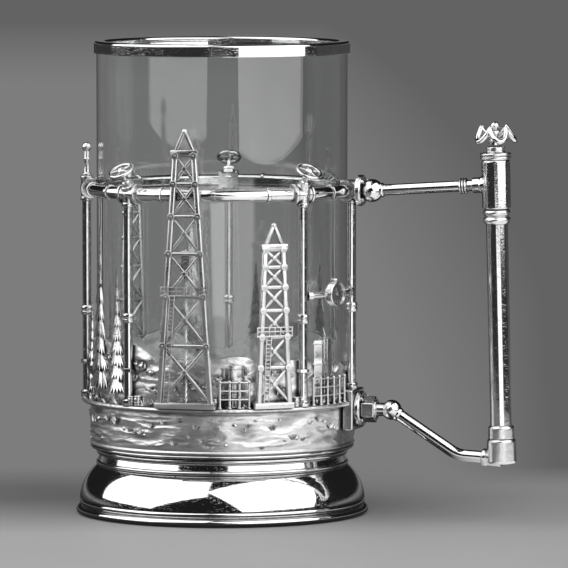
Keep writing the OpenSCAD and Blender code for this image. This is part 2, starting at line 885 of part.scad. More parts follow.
// A rolled channel over the lip of the glass
module lip_band() {
    in_r = glass_r - glass_wall;
    color("gainsboro") translate([0, 0, glass_z + glass_h]) rotate_extrude() {
        translate([glass_r, -rim_h]) square([rim_t, rim_h]);
        translate([in_r - rim_t, -rim_h * rim_in_share]) square([rim_t, rim_h * rim_in_share]);
        intersection() {
            union() {
                translate([glass_r, 0]) circle(r = rim_t);
                translate([in_r, 0]) circle(r = rim_t);
                translate([in_r, 0]) square([glass_wall, rim_t]);
            }
            translate([in_r - rim_t, 0]) square([glass_wall + 2 * rim_t, rim_t]);
        }
    }
}

foot_ring();
base_dome();
waist_ring();
floor_plate();
sleeve_band();
hills_front();
hills_rear();
lower_pad();
handle_tee();
valve(1);  // valve_1
valve(2);  // valve_2
mast_tee();
valve(4);  // valve_3
valve_wheel(1);  // valve_wheel_1
valve_wheel(2);  // valve_wheel_2
valve_wheel(4);  // valve_wheel_3
ring_pipe(0);  // ring_pipe_1
ring_pipe(1);  // ring_pipe_2
ring_pipe(2);  // ring_pipe_3
ring_pipe(3);  // ring_pipe_4
ring_pipe(4);  // ring_pipe_5
riser(fitting_turns[0], flange_z + pad_half);  // riser_handle
riser(fitting_turns[1], ground_z);  // riser_1
riser(fitting_turns[2], ground_z);  // riser_2
riser(fitting_turns[3], ground_z);  // riser_3
riser(fitting_turns[4], ground_z);  // riser_4
mast();
tower(tower_turn, 1);  // tower_front
tower_hoist();
tower(small_tower_turn, small_tower_share);  // tower_small
tower(rear_turn, rear_share);  // tower_rear
pipe_bridge();
tank(tank_turn, 1);  // tank_large
tank(small_turn, small_share);  // tank_small
tank(tank_rear_turn, 1);  // tank_rear
firs(firs_left_shares);  // firs_left
firs(firs_rear_shares);  // firs_rear
firs(firs_right_shares);  // firs_right
railing();
upper_flange();
upper_bolts();
upper_ball();
upper_arm();
arm_coupling();
post_barrel();
gland();
spindle();
hand_wheel();
cap_nut();
post_collar();
post_tube();
elbow_collar();
lower_elbow();
lower_arm();
lower_ball();
lower_union();
lower_flange();
lower_bolts();
glass();
lip_band();
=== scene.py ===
import math
import random
import bmesh
import bpy
from mathutils import Matrix, Vector, noise


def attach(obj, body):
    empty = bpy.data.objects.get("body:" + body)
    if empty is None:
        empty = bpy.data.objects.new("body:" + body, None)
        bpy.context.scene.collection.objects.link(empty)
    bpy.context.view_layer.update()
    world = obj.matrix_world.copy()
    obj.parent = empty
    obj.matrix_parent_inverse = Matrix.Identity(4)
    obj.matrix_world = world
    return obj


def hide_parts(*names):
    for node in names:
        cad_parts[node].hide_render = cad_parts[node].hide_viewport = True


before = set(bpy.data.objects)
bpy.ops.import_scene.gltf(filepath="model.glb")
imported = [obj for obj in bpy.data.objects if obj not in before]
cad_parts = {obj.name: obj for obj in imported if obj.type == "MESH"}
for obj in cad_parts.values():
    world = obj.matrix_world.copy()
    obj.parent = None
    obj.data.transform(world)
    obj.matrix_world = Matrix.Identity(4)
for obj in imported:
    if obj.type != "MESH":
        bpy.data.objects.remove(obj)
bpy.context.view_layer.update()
scene = bpy.context.scene
print("frame loaded:", len(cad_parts), "nodes")

# Pieces are built in millimetres about the glass's axis, then brought to metres
mm = 0.001
finest = 0.0005  # mm, points closer than this are one

# A corner wider than flat degrees stays sharp, and a rounding takes at most share of each edge beside it
rounding = {"flat": 165, "share": 0.45, "cuts": 3, "blockShare": 0.3}


# Shaping tools

def cornerPoints(first, corner, last, cuts):
    steps = [k / cuts for k in range(cuts + 1)]
    return [first * (1 - t) ** 2 + corner * (2 * t * (1 - t)) + last * t * t for t in steps]


def softened(outline, soft, closed):
    points = [Vector(p) for p in outline]
    result = []
    for i, here in enumerate(points):
        back, on = points[i - 1] - here, points[(i + 1) % len(points)] - here
        least = min(back.length, on.length)
        atEnd = not closed and i in (0, len(points) - 1)
        if soft == 0 or atEnd or least < finest or back.angle(on) > math.radians(rounding["flat"]):
            result.append(here)
            continue
        reach = min(soft, back.length * rounding["share"], on.length * rounding["share"])
        result += cornerPoints(here + back.normalized() * reach, here, here + on.normalized() * reach,
                               rounding["cuts"])
    return [(p.x, p.y) for p in result]


def arcPoints(x, z, radius, start, end, count):
    turns = [math.radians(start + (end - start) * k / count) for k in range(count + 1)]
    return [(x + radius * math.cos(t), z + radius * math.sin(t)) for t in turns]


# Pairs of a place and a radius, counted from where they start
def lifted(pairs, start):
    return [(start + at, radius) for at, radius in pairs]


def evenPairs(start, end, count, radius):
    return [(start + (end - start) * k / count, radius) for k in range(count + 1)]


def addPart(whole, part, place=Matrix()):
    bmesh.ops.remove_doubles(part, verts=part.verts, dist=finest)
    bmesh.ops.recalc_face_normals(part, faces=part.faces)
    part.transform(place)
    spare = bpy.data.meshes.new("spare")
    part.to_mesh(spare)
    part.free()
    whole.from_mesh(spare)
    bpy.data.meshes.remove(spare)


def closeHoles(part):
    bmesh.ops.holes_fill(part, edges=[e for e in part.edges if e.is_boundary])


# Half relief: what lies behind the plane x = at goes
def cutBehind(part, at):
    bmesh.ops.bisect_plane(part, geom=part.verts[:] + part.edges[:] + part.faces[:], dist=finest,
                           plane_co=(at, 0, 0), plane_no=(-1, 0, 0), clear_outer=True)
    closeHoles(part)


def drawn(part, outline, closed):
    verts = [part.verts.new((x, 0, z)) for x, z in outline]
    edges = [part.edges.new(pair) for pair in zip(verts, verts[1:])]
    if closed:
        edges.append(part.edges.new((verts[-1], verts[0])))
    return verts + edges


# An outline of (radius, height) turned about +Z of its place
def turned(whole, outline, place=Matrix(), steps=64, soft=0.12, closed=False):
    part = bmesh.new()
    geom = drawn(part, softened(outline, soft, closed), closed)
    bmesh.ops.spin(part, geom=geom, axis=(0, 0, 1), angle=math.tau, steps=steps, use_merge=True)
    addPart(whole, part, place)


# A rod or a stepped shaft along +Z of its place, from (height, radius) pairs
def shaft(whole, sections, place=Matrix(), steps=64, soft=0.12):
    outline = [(0, sections[0][0])] + [(r, z) for z, r in sections] + [(0, sections[-1][0])]
    turned(whole, outline, place, steps, soft)


def ballOn(whole, radius, place=Matrix(), detail=24):
    part = bmesh.new()
    bmesh.ops.create_uvsphere(part, u_segments=detail, v_segments=detail // 2, radius=radius)
    addPart(whole, part, place)


# A closed block about its place, with its edges rounded
def block(whole, size, place=Matrix(), soft=0.12, segments=2):
    part = bmesh.new()
    bmesh.ops.create_cube(part, size=1)
    bmesh.ops.scale(part, vec=size, verts=part.verts)
    bmesh.ops.bevel(part, geom=part.edges[:], offset=min(soft, min(size) * rounding["blockShare"]),
                    segments=segments, profile=0.5, affect="EDGES", material=-1)
    addPart(whole, part, place)


def hexagon(whole, radius, height, place=Matrix(), soft=0.12):
    part = bmesh.new()
    bmesh.ops.create_cone(part, cap_ends=True, segments=6, radius1=radius, radius2=radius, depth=height)
    bmesh.ops.rotate(part, verts=part.verts, matrix=Matrix.Rotation(math.radians(30), 3, "Z"))
    bmesh.ops.translate(part, verts=part.verts, vec=(0, 0, height / 2))
    bmesh.ops.bevel(part, geom=part.edges[:], offset=soft, segments=3, profile=0.5, affect="EDGES",
                    material=-1)
    addPart(whole, part, place)


# A round tube that follows points, its rings bridged one to the next
def followed(whole, points, radius, sides=24, place=Matrix(), closed=False):
    part = bmesh.new()
    points = [Vector(p) for p in points]
    last = len(points) - 1
    rings = []
    for i, here in enumerate(points):
        on, back = ((i + 1) % (last + 1), i - 1) if closed else (min(i + 1, last), max(i - 1, 0))
        way = (points[on] - points[back]).normalized()
        turn = Vector((0, 0, 1)).rotation_difference(way).to_matrix().to_4x4()
        size = radius[i] if isinstance(radius, list) else radius
        made = bmesh.ops.create_circle(part, segments=sides, radius=size,
                                       matrix=Matrix.Translation(here) @ turn)
        rings.append({e for v in made["verts"] for e in v.link_edges})
    for one, other in zip(rings, rings[1:] + rings[:1] if closed else rings[1:]):
        bmesh.ops.bridge_loops(part, edges=list(one | other))
    closeHoles(part)
    addPart(whole, part, place)


# A body bent round the ring: (turn, radius) pairs about its centre line, never nearer the axis than inner
def ringBody(whole, profile, ring, level, inner=0, sides=32):
    part = bmesh.new()
    upright = Matrix.Rotation(math.pi / 2, 4, "X")
    made = bmesh.ops.create_circle(part, segments=sides, radius=1, matrix=upright)
    bmesh.ops.translate(part, verts=part.verts, vec=(ring, 0, 0))
    step, last = math.radians(1), len(profile) - 1  # one step for each pair, then each goes to its turn
    edges = list({e for v in made["verts"] for e in v.link_edges})
    bmesh.ops.spin(part, geom=made["verts"] + edges, axis=(0, 0, 1), angle=step * last, steps=last)
    for v in part.verts:
        at = math.atan2(v.co.y, v.co.x)
        turn, radius = profile[min(last, max(0, round(at / step)))]
        out = max(inner, ring + (v.co.xy.length - ring) * radius)
        turn = math.radians(turn)
        v.co = (out * math.cos(turn), out * math.sin(turn), level + v.co.z * radius)
    closeHoles(part)
    addPart(whole, part)


def spun(turn):
    return Matrix.Rotation(math.radians(turn), 4, "Z")


def moved(x, y, z):
    return Matrix.Translation((x, y, z))


# Points +Z of a place along a direction of the handle's plane
def along(point, way):
    return moved(point[0], 0, point[1]) @ Matrix.Rotation(math.atan2(way[0], way[1]), 4, "Y")


outward = Matrix.Rotation(math.pi / 2, 4, "Y")  # points +Z away from the axis


def finished(bm, name, finish, *stands, body="holder", slot="pipework", sharp=38):
    bmesh.ops.remove_doubles(bm, verts=bm.verts, dist=finest)
    bmesh.ops.scale(bm, vec=(mm, mm, mm), verts=bm.verts)
    for face in bm.faces:
        face.smooth = True
    for edge in bm.edges:
        edge.smooth = edge.is_manifold and edge.calc_face_angle() < math.radians(sharp)
    mesh = bpy.data.meshes.new(name)
    bm.to_mesh(mesh)
    bm.free()
    mesh.materials.append(materials[finish])
    piece = bpy.data.objects.new(name, mesh)
    scene.collection.objects.link(piece)
    if slot != "cast_relief":  # flat stays flat beside a rounded edge
        piece.modifiers.new("evenNormals", "WEIGHTED_NORMAL").keep_sharp = True
    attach(piece, body)
    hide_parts(*stands)
    return piece


# A whole piece, from rows that give a shaping tool and its values
def makePiece(name, finish, stands, *rows, **rest):
    bm = bmesh.new()
    for tool, *values in rows:
        tool(bm, *values)
    return finished(bm, name, finish, stands, **rest)


# Materials

# Gives each input its value, or the socket that feeds it
def feed(tree, node, inputs):
    for label, value in inputs.items():
        if isinstance(value, bpy.types.NodeSocket):
            tree.links.new(value, node.inputs[label])
        elif value is not None:
            node.inputs[label].default_value = value
    return node


def addNode(tree, kind, inputs, **settings):
    node = tree.nodes.new("ShaderNode" + kind)
    for setting, value in settings.items():
        setattr(node, setting, value)
    return feed(tree, node, inputs)


def mathNode(tree, operation, first, second=None, clamp=False):
    return addNode(tree, "Math", {0: first, 1: second}, operation=operation, use_clamp=clamp).outputs[0]


def noiseNode(tree, vector, scale, detail, roughness=0.55):
    inputs = {"Vector": vector, "Scale": scale, "Detail": detail, "Roughness": roughness}
    return addNode(tree, "TexNoise", inputs).outputs["Fac"]


def ranged(tree, value, fromLow, fromHigh, toLow=0.0, toHigh=1.0):
    inputs = {"Value": value, "From Min": fromLow, "From Max": fromHigh, "To Min": toLow, "To Max": toHigh}
    return addNode(tree, "MapRange", inputs).outputs["Result"]


def distance(tree, across, back):
    squares = [mathNode(tree, "POWER", mathNode(tree, "ABSOLUTE", v), 2.0) for v in (across, back)]
    return mathNode(tree, "SQRT", mathNode(tree, "ADD", *squares))


def newGroup(name, inputs, outputs):
    group = bpy.data.node_groups.new(name, "ShaderNodeTree")
    for label, value in inputs.items():
        kind = "NodeSocketVector" if value is None else "NodeSocketFloat"
        socket = group.interface.new_socket(name=label, in_out="INPUT", socket_type=kind)
        if value is not None:
            socket.default_value = value
    for label in outputs:
        group.interface.new_socket(name=label, in_out="OUTPUT", socket_type="NodeSocketFloat")
    return group, group.nodes.new("NodeGroupInput").outputs, group.nodes.new("NodeGroupOutput")


# Noise scales on metres, the scratches' stretch and slant, and how far round a corner painted shade and
# tarnishing reach
patterns = {"smudge": 55, "scratch": 900, "stretch": (1, 1, 9), "slant": (0.5, 0.3, 0.2), "rings": 1500.0,
            "grain": 2600.0, "mottle": 420, "corner": 0.0022}


# Handling marks: soft smudges and fine wiping scratches, as a roughness
def makeHandling():
    tree, given, result = newGroup("handlingMarks", {"Vector": None, "Clean": 0.05, "Marked": 0.16},
                                   ["Roughness", "Scratches"])
    smudges = noiseNode(tree, given["Vector"], patterns["smudge"], 4, 0.6)
    stretched = addNode(tree, "Mapping", {"Vector": given["Vector"], "Scale": patterns["stretch"],
                                          "Rotation": patterns["slant"]})
    scratches = noiseNode(tree, stretched.outputs["Vector"], patterns["scratch"], 2, 0.7)
    lines = ranged(tree, scratches, 0.62, 0.74)
    faint = mathNode(tree, "MULTIPLY", lines, 0.5)
    both = mathNode(tree, "ADD", ranged(tree, smudges, 0.42, 0.72), faint, True)
    feed(tree, result, {"Roughness": ranged(tree, both, 0, 1, given["Clean"], given["Marked"]),
                        "Scratches": lines})
    return tree


# Fine rings that a lathe or a polishing wheel leaves round the axis
def makeTurning():
    tree, given, result = newGroup("turningLines", {"Vector": None, "Pitch": patterns["rings"]}, ["Lines"])
    split = addNode(tree, "SeparateXYZ", {0: given["Vector"]}).outputs
    joined = addNode(tree, "CombineXYZ", {0: distance(tree, split[0], split[1]), 1: split[2]})
    feed(tree, result, {"Lines": noiseNode(tree, joined.outputs[0], given["Pitch"], 2, 0.5)})
    return tree


# Skin of a casting: pits and soft unevenness as a height, and a mottle for its colour
def makeCasting():
    tree, given, result = newGroup("castingSkin", {"Vector": None, "Grain": patterns["grain"]},
                                   ["Height", "Mottle"])
    fine = noiseNode(tree, given["Vector"], given["Grain"], 3, 0.6)
    broad = noiseNode(tree, given["Vector"], patterns["mottle"], 3, 0.5)
    feed(tree, result, {"Height": mathNode(tree, "ADD", mathNode(tree, "MULTIPLY", fine, 0.5), broad),
                        "Mottle": ranged(tree, broad, 0.35, 0.7)})
    return tree


# Painted shade and the tarnishing that stays where cloths don't reach, in close corners and hollows
def makeHollows():
    tree, given, result = newGroup("hollowShadeAndTarnish", {"Strength": 1.0}, ["Mask"])
    shade = addNode(tree, "AmbientOcclusion", {"Distance": patterns["corner"]}, samples=6)
    closed = mathNode(tree, "SUBTRACT", 1.0, ranged(tree, shade.outputs["AO"], 0.35, 0.85))
    feed(tree, result, {"Mask": mathNode(tree, "MULTIPLY", closed, given["Strength"], True)})
    return tree


groups = {"handling": makeHandling(), "turning": makeTurning(), "casting": makeCasting(),
          "hollows": makeHollows()}

# Grey where bright and where painted shade and tarnishing fall, roughness where clean and where marked, the
# strength of that shade and tarnishing, and the depths of the lathe's rings and the casting's grain. A carved
# finish is darker in its carving's hollows too, as painted shade and tarnishing.
metalFinishes = {
    "basePolish": {"bright": 0.86, "dark": 0.10, "clean": 0.035, "marked": 0.10, "shadeAndTarnish": 0.55,
                   "turning": 0.01},
    "pipePolish": {"bright": 0.86, "dark": 0.07, "clean": 0.03, "marked": 0.09, "shadeAndTarnish": 0.8,
                   "casting": 0.02},
    "fittingPolish": {"bright": 0.82, "dark": 0.05, "clean": 0.15, "marked": 0.28, "shadeAndTarnish": 0.9,
                      "casting": 0.05},
    "lipPolish": {"bright": 0.87, "dark": 0.12, "clean": 0.03, "marked": 0.09, "shadeAndTarnish": 0.4,
                  "turning": 0.008},
    "groundCasting": {"bright": 0.84, "dark": 0.06, "clean": 0.27, "marked": 0.42, "shadeAndTarnish": 0.8,
                      "casting": 0.16, "carved": True},
    "treeCasting": {"bright": 0.82, "dark": 0.05, "clean": 0.14, "marked": 0.3, "shadeAndTarnish": 1.0,
                    "casting": 0.12},
    "latticeCasting": {"bright": 0.84, "dark": 0.05, "clean": 0.25, "marked": 0.44, "shadeAndTarnish": 0.9,
                       "casting": 0.07},
    "insideSatin": {"bright": 0.84, "dark": 0.16, "clean": 0.36, "marked": 0.5, "shadeAndTarnish": 0.3,
                    "casting": 0.4, "carved": True},
    "dialSatin": {"bright": 0.62, "dark": 0.2, "clean": 0.3, "marked": 0.45, "shadeAndTarnish": 0.6,
                  "casting": 0.05, "blue": 0},
}
silverBlue = 0.005  # silver's blue stands this much above its grey
metalWear = {"mottle": 0.12, "shadeAndTarnishRough": 0.25, "scratchDeep": -0.01, "bump": 0.0006,
             "carving": (0.42, 0.06)}
glassFinish = {"ior": 1.58, "tint": (0.962, 0.968, 0.968), "marked": 0.02, "wave": 0.02, "waveScale": 22,
               "bump": 0.0002}


def placed(tree, effect, **inputs):
    return addNode(tree, "Group", inputs, node_tree=groups[effect]).outputs


def newMaterial(name):
    material = bpy.data.materials.new(name)
    material.use_nodes = True
    tree = material.node_tree
    return material, tree, tree.nodes["Principled BSDF"], addNode(tree, "TexCoord", {}).outputs["Object"]


def makeMetal(name, finish):
    material, tree, shader, vector = newMaterial(name)
    marks = placed(tree, "handling", Vector=vector, Clean=finish["clean"], Marked=finish["marked"])
    skin = placed(tree, "casting", Vector=vector)
    # Painted shade and tarnishing: corners and hollows, and the hollows of a carving, go toward the dark grey
    # and rougher
    shadeAndTarnish = placed(tree, "hollows", Strength=finish["shadeAndTarnish"])["Mask"]
    if finish.get("carved"):
        carved = addNode(tree, "Attribute", {}, attribute_name="carved").outputs["Fac"]
        shadeAndTarnish = mathNode(tree, "MAXIMUM", shadeAndTarnish, ranged(tree, carved, *metalWear["carving"]))
    mottled = mathNode(tree, "MULTIPLY", skin["Mottle"], metalWear["mottle"])
    blue = finish.get("blue", silverBlue)
    bright, dark = [(grey, grey, grey + blue, 1) for grey in (finish["bright"], finish["dark"])]
    tint = addNode(tree, "Mix", {0: mathNode(tree, "ADD", shadeAndTarnish, mottled, True), 6: bright, 7: dark},
                   data_type="RGBA")
    dulled = mathNode(tree, "MULTIPLY", shadeAndTarnish, metalWear["shadeAndTarnishRough"])
    height = mathNode(tree, "MULTIPLY", skin["Height"], finish.get("casting", 0))
    if "turning" in finish:
        lines = placed(tree, "turning", Vector=vector)["Lines"]
        height = mathNode(tree, "ADD", height, mathNode(tree, "MULTIPLY", lines, finish["turning"]))
    scratched = mathNode(tree, "MULTIPLY", marks["Scratches"], metalWear["scratchDeep"])
    bump = addNode(tree, "Bump", {"Height": mathNode(tree, "ADD", height, scratched), "Strength": 1,
                                  "Distance": metalWear["bump"]})
    feed(tree, shader, {"Metallic": 1, "Base Color": tint.outputs[2], "Normal": bump.outputs["Normal"],
                        "Roughness": mathNode(tree, "ADD", marks["Roughness"], dulled, True)})
    return material


def makeGlass():
    material, tree, shader, vector = newMaterial("clearGlass")
    marks = placed(tree, "handling", Vector=vector, Clean=0.0, Marked=glassFinish["marked"])
    bump = addNode(tree, "Bump", {"Height": noiseNode(tree, vector, glassFinish["waveScale"], 1),
                                  "Strength": glassFinish["wave"], "Distance": glassFinish["bump"]})
    feed(tree, shader, {"Base Color": (*glassFinish["tint"], 1), "Transmission Weight": 1,
                        "IOR": glassFinish["ior"], "Roughness": marks["Roughness"],
                        "Normal": bump.outputs["Normal"]})
    return material


materials = {name: makeMetal(name, finish) for name, finish in metalFinishes.items()}
materials["clearGlass"] = makeGlass()
print("materials made:", len(materials))

# Radii and levels that several pieces share, in mm, and the turns of the ring main's fittings
sleeveIn, bandRadius, hillRadius, reliefRadius, groundLevel = 34.0, 35.3, 35.0, 35.06, 31.2
ringRadius, ringLevel, riserAt = 35.3, 87.2, 36.26
fittingTurns, fittingHalf = [0, -36, -115, -162, -255], 4.6

# Base

base = {"footRadius": 39.27, "footHeight": 4.1, "footDeep": 4.6, "roll": 1.066, "bead": 0.984,
        "skirtFoot": 38.3, "skirtTop": 33.4, "skirtHeight": 9.1, "bulge": 1.1, "wall": 1.2, "waist": 33.4,
        "waistFoot": 13.2, "waistHeight": 5.4, "bore": 28.9, "steps": 192,
        "plate": [(0, 18.6), (33.9, 18.6), (33.9, 19.75), (30.5, 19.75), (30.2, 19.5), (9, 19.5),
                  (8.6, 19.75), (0, 19.75)]}


def footOutline():
    outer, roll, bead = base["footRadius"], base["roll"], base["bead"]
    points = [(outer - base["footDeep"], 0), (outer - roll, 0)]
    points += arcPoints(outer - roll, roll, roll, -90, 74, 16)[1:]
    points += arcPoints(base["skirtFoot"] - bead, 2 * roll + bead, bead, -62, 90, 14)
    return points + [(outer - base["footDeep"], base["footHeight"])]


# An arc through the skirt's foot and top, bulged out, and the same arc inside its wall
def skirtOutline():
    bulge, wall = base["bulge"], base["wall"]
    low = Vector((base["skirtFoot"], base["footHeight"]))
    high = Vector((base["skirtTop"], base["footHeight"] + base["skirtHeight"]))
    chord = high - low
    arc = (chord.length ** 2 / 4 + bulge ** 2) / (2 * bulge)
    centre = (low + high) / 2 - Vector((chord.y, -chord.x)).normalized() * (arc - bulge)
    start, end = [math.degrees(math.atan2(p.y - centre.y, p.x - centre.x)) for p in (low, high)]
    inner = arcPoints(centre.x, centre.y, arc - wall, end, start, 24)
    return arcPoints(centre.x, centre.y, arc, start, end, 40) + [(base["bore"] + 2, high.y)] \
        + [p for p in inner if low.y < p[1] < high.y] + [(low.x - wall * 1.2, low.y)]


# A cove, a broad bead and a slim one
def waistOutline():
    r, z, bore = base["waist"], base["waistFoot"], base["bore"]
    points = [(bore, z)] + arcPoints(r - 0.02, z + 0.55, 0.55, -90, 82, 12)
    points += arcPoints(r - 0.5, z + 3.55, 0.95, -80, 80, 18)
    points += [(r - 0.45, z + 4.52)] + arcPoints(bandRadius - 0.3, z + 4.95, 0.42, -90, 90, 10)
    return points + [(bore, z + base["waistHeight"])]


for name, stands, outline, steps, soft, closed in (
        ("footMoulding", "foot_ring", footOutline(), base["steps"], 0.05, True),
        ("domedSkirt", "base_dome", skirtOutline(), base["steps"], 0, True),
        ("waistMoulding", "waist_ring", waistOutline(), base["steps"], 0.03, True),
        ("glassPlate", "floor_plate", base["plate"], 128, 0.1, False)):
    makePiece(name, "basePolish", stands, (turned, outline, Matrix(), steps, soft, closed),
              slot="polished_base")
print("base made")

# Ground relief: the band under the shelf, the shelf's edge and the two hill castings

# Barrels are (turn, place beyond the hills, size), hills are (turn, radius, level) with the last two as
# shares of hillTop
ground = {"bandFoot": 18.6, "bandTop": 30.0, "shelfTop": 31.2, "shelfRadius": 37.8, "hillTop": 17,
          "hillFoot": 0.3, "step": 0.6, "rows": 44, "relief": 1.0, "hollow": 0.42, "bandRows": 52,
          "bandSteps": 640, "padHalf": 9, "padFade": 3, "shelfWear": 0.12,
          "barrels": [(-36.9, 1.3, 1), (-39.9, 1.5, 1), (-42.6, 1.2, 0.9), (-75.2, 1.4, 1), (-110, 1.3, 1.05),
                      (-113.2, 1.5, 1), (-197, 1.4, 1), (-200.2, 1.3, 0.9), (-255, 1.4, 1), (-258.4, 1.3, 1)],
          "hills": [(-14, 0.62, 0.02), (-40, 0.9, -0.18), (-66, 0.7, 0.1), (-92, 0.86, -0.1),
                    (-118, 0.72, 0.24), (-142, 0.8, 0.2), (-168, 0.66, 0.02), (-196, 0.9, 0.02),
                    (-222, 0.72, 0.18), (-248, 0.66, -0.06), (-274, 0.9, -0.04), (-300, 0.7, 0.2),
                    (-326, 0.78, 0.06), (-350, 0.6, -0.02)]}


# Rocky ledges and folds, 0 in the hollows to 1 on the crests
def rockHeight(turn, z, coarse=1.0):
    a = math.radians(turn)
    p = Vector((hillRadius * math.cos(a) * 0.12, hillRadius * math.sin(a) * 0.12, z * 0.32)) * coarse
    folds = noise.ridged_multi_fractal(p, 1.0, 2.1, 4, 1.0, 2.0) * 0.42
    swell = noise.fractal(p * 0.6 + Vector((9, 3, 1)), 1.0, 2.0, 2) * 0.35 + 0.35
    return min(1.0, max(0.0, folds * 0.62 + swell * 0.5))


def hillHeight(turn):
    top = ground["hillTop"]
    best = top * ground["hillFoot"]
    for centre, radius, level in ground["hills"]:
        apart = (turn - centre + 180) % 360 - 180
        across = hillRadius * math.sin(math.radians(apart))
        reach = top * radius
        if abs(apart) < 90 and abs(across) < reach:
            best = max(best, top * level + math.sqrt(reach ** 2 - across ** 2))
    return min(best, top) + 0.25 * noise.noise(Vector((turn * 0.35, 0, 5)))


def makeHills(name, stands, start, end):
    bm = bmesh.new()
    rows, inner = ground["rows"], sleeveIn + 0.06
    middle = (inner + hillRadius) / 2
    outline = [(hillRadius, k / rows) for k in range(rows + 1)] + [(inner, 1 - k / 16) for k in range(17)]
    bmesh.ops.spin(bm, geom=drawn(bm, outline, True), axis=(0, 0, 1), angle=math.radians(end - start),
                   steps=round(abs(end - start) / ground["step"]))
    # Each point keeps its carving's height, 0 in the hollows, and the material paints those hollows darker as
    # shade and tarnishing
    layer = bm.verts.layers.float.new("carved")
    for v in bm.verts:
        turn = start + math.degrees(math.atan2(v.co.y, v.co.x)) % 360
        share, outside = v.co.z, v.co.xy.length > middle
        z = groundLevel + share * hillHeight(turn)
        if outside:
            carved = rockHeight(turn, z)
            fade = 0.35 + 0.65 * min(1, (1 - share) * 6)
            radius = hillRadius - 0.25 + ground["relief"] * carved * fade
        else:
            hollow = 1 - rockHeight(turn, z, 1.4)
            carved = 1 - hollow
            radius = inner + ground["hollow"] * hollow * min(1, (1 - share) * 4)
        v[layer] = carved
        a = math.radians(turn)
        v.co = (radius * math.cos(a), radius * math.sin(a), z)
    closeHoles(bm)
    bmesh.ops.recalc_face_normals(bm, faces=bm.faces)
    for face in bm.faces:
        face.material_index = int(all(v.co.xy.length < middle for v in face.verts))
    hills = finished(bm, name, "groundCasting", stands, slot="cast_relief", sharp=70)
    hills.data.materials.append(materials["insideSatin"])


def makeBand():
    bm = bmesh.new()
    rows, relief, wear = ground["bandRows"], ground["relief"], ground["shelfWear"]
    foot, top, shelf = ground["bandFoot"], ground["bandTop"], ground["shelfTop"]
    outline = [(sleeveIn + 0.02, foot)] + arcPoints(bandRadius - 0.275, foot + 0.55, 0.55, -90, 60, 8)
    low, high = outline[-1][1] + 0.1, top - 0.35
    outline += [(bandRadius, low + (high - low) * k / rows) for k in range(rows + 1)]
    edge = shelf - top
    outline += [(bandRadius + 0.3, top)]
    outline += arcPoints(ground["shelfRadius"] - edge / 2, (top + shelf) / 2, edge / 2, -90, 90, 10)
    outline += [(sleeveIn + 0.02, shelf)]
    bmesh.ops.spin(bm, geom=drawn(bm, outline, True), axis=(0, 0, 1), angle=math.tau,
                   steps=ground["bandSteps"], use_merge=True)
    # Each point keeps its carving's height, 1 where uncarved, and the material paints the low points darker
    # as shade and tarnishing
    layer = bm.verts.layers.float.new("carved")
    for v in bm.verts:
        turn, radius = math.degrees(math.atan2(v.co.y, v.co.x)), v.co.xy.length
        v[layer] = 1
        if abs(radius - bandRadius) < 0.01 and low < v.co.z < top - 0.3:
            crest = rockHeight(turn, v.co.z * 1.3, 0.8)
            fade = min(1, (v.co.z - low) / 1.2, (high - v.co.z) / 0.8)
            onPad = max(0, 1 - max(0, abs(turn) - ground["padHalf"]) / ground["padFade"])
            lift = (relief * crest - 0.3) * max(0, fade) * (1 - onPad)
            v.co.xy *= (radius + lift) / radius
            v[layer] = crest
        elif radius > ground["shelfRadius"] - 1:
            worn = wear * noise.noise(Vector((v.co.x, v.co.y, v.co.z * 0.5)) * 0.9)
            v.co.xy *= (radius - wear + min(0.1, worn)) / radius
    bmesh.ops.recalc_face_normals(bm, faces=bm.faces)
    finished(bm, "sleeveBand", "groundCasting", "sleeve_band", slot="cast_relief", sharp=70)


makeHills("hillsFront", "hills_front", -192, -12)
makeHills("hillsRear", "hills_rear", -372, -192)
makeBand()
print("ground relief made")

# Rocks, tufts of grass, leafy clumps and barrels that stand on the shelf and the hills

# How many are spread round the sleeve and how large they are, with gaps in degrees beside the handle's pad
scatter = {"seed": 7, "rocks": 150, "rock": (0.35, 0.85), "tufts": 130, "tuft": (1.5, 3.2), "bushes": 90,
           "bush": (1.1, 2.5), "onBand": 110, "bandRock": (0.35, 0.75), "bandTuft": (1.0, 1.9), "blades": 8,
           "leaves": 30, "gap": 13, "bushGap": 14, "barrelHoops": (0.15, 0.8, 1.6, 2.25)}


def rock(whole, turn, radius, z, size):
    part = bmesh.new()
    bmesh.ops.create_icosphere(part, subdivisions=2, radius=size)
    for v in part.verts:
        v.co *= 1 + 0.45 * noise.noise(v.co * (1.1 / size) + Vector((turn, z, 1)))
        v.co.z *= 0.72
        v.co.x *= 0.7
    addPart(whole, part, spun(turn) @ moved(radius, 0, z))


def tuft(whole, turn, radius, z, size, dice):
    for k in range(scatter["blades"]):
        long = size * dice.uniform(0.75, 1.1)
        part = bmesh.new()
        bmesh.ops.create_cone(part, cap_ends=True, segments=4, radius1=size * 0.1, radius2=size * 0.012,
                              depth=long)
        bmesh.ops.translate(part, verts=part.verts, vec=(0, 0, long / 2))
        lean = (k - 3.5) * 0.26 + dice.uniform(-0.1, 0.1)
        addPart(whole, part, spun(turn) @ moved(radius, (k - 3.5) * size * 0.09, z)
                @ Matrix.Rotation(dice.uniform(0.0, 0.22), 4, "Y") @ Matrix.Rotation(-lean, 4, "X"))


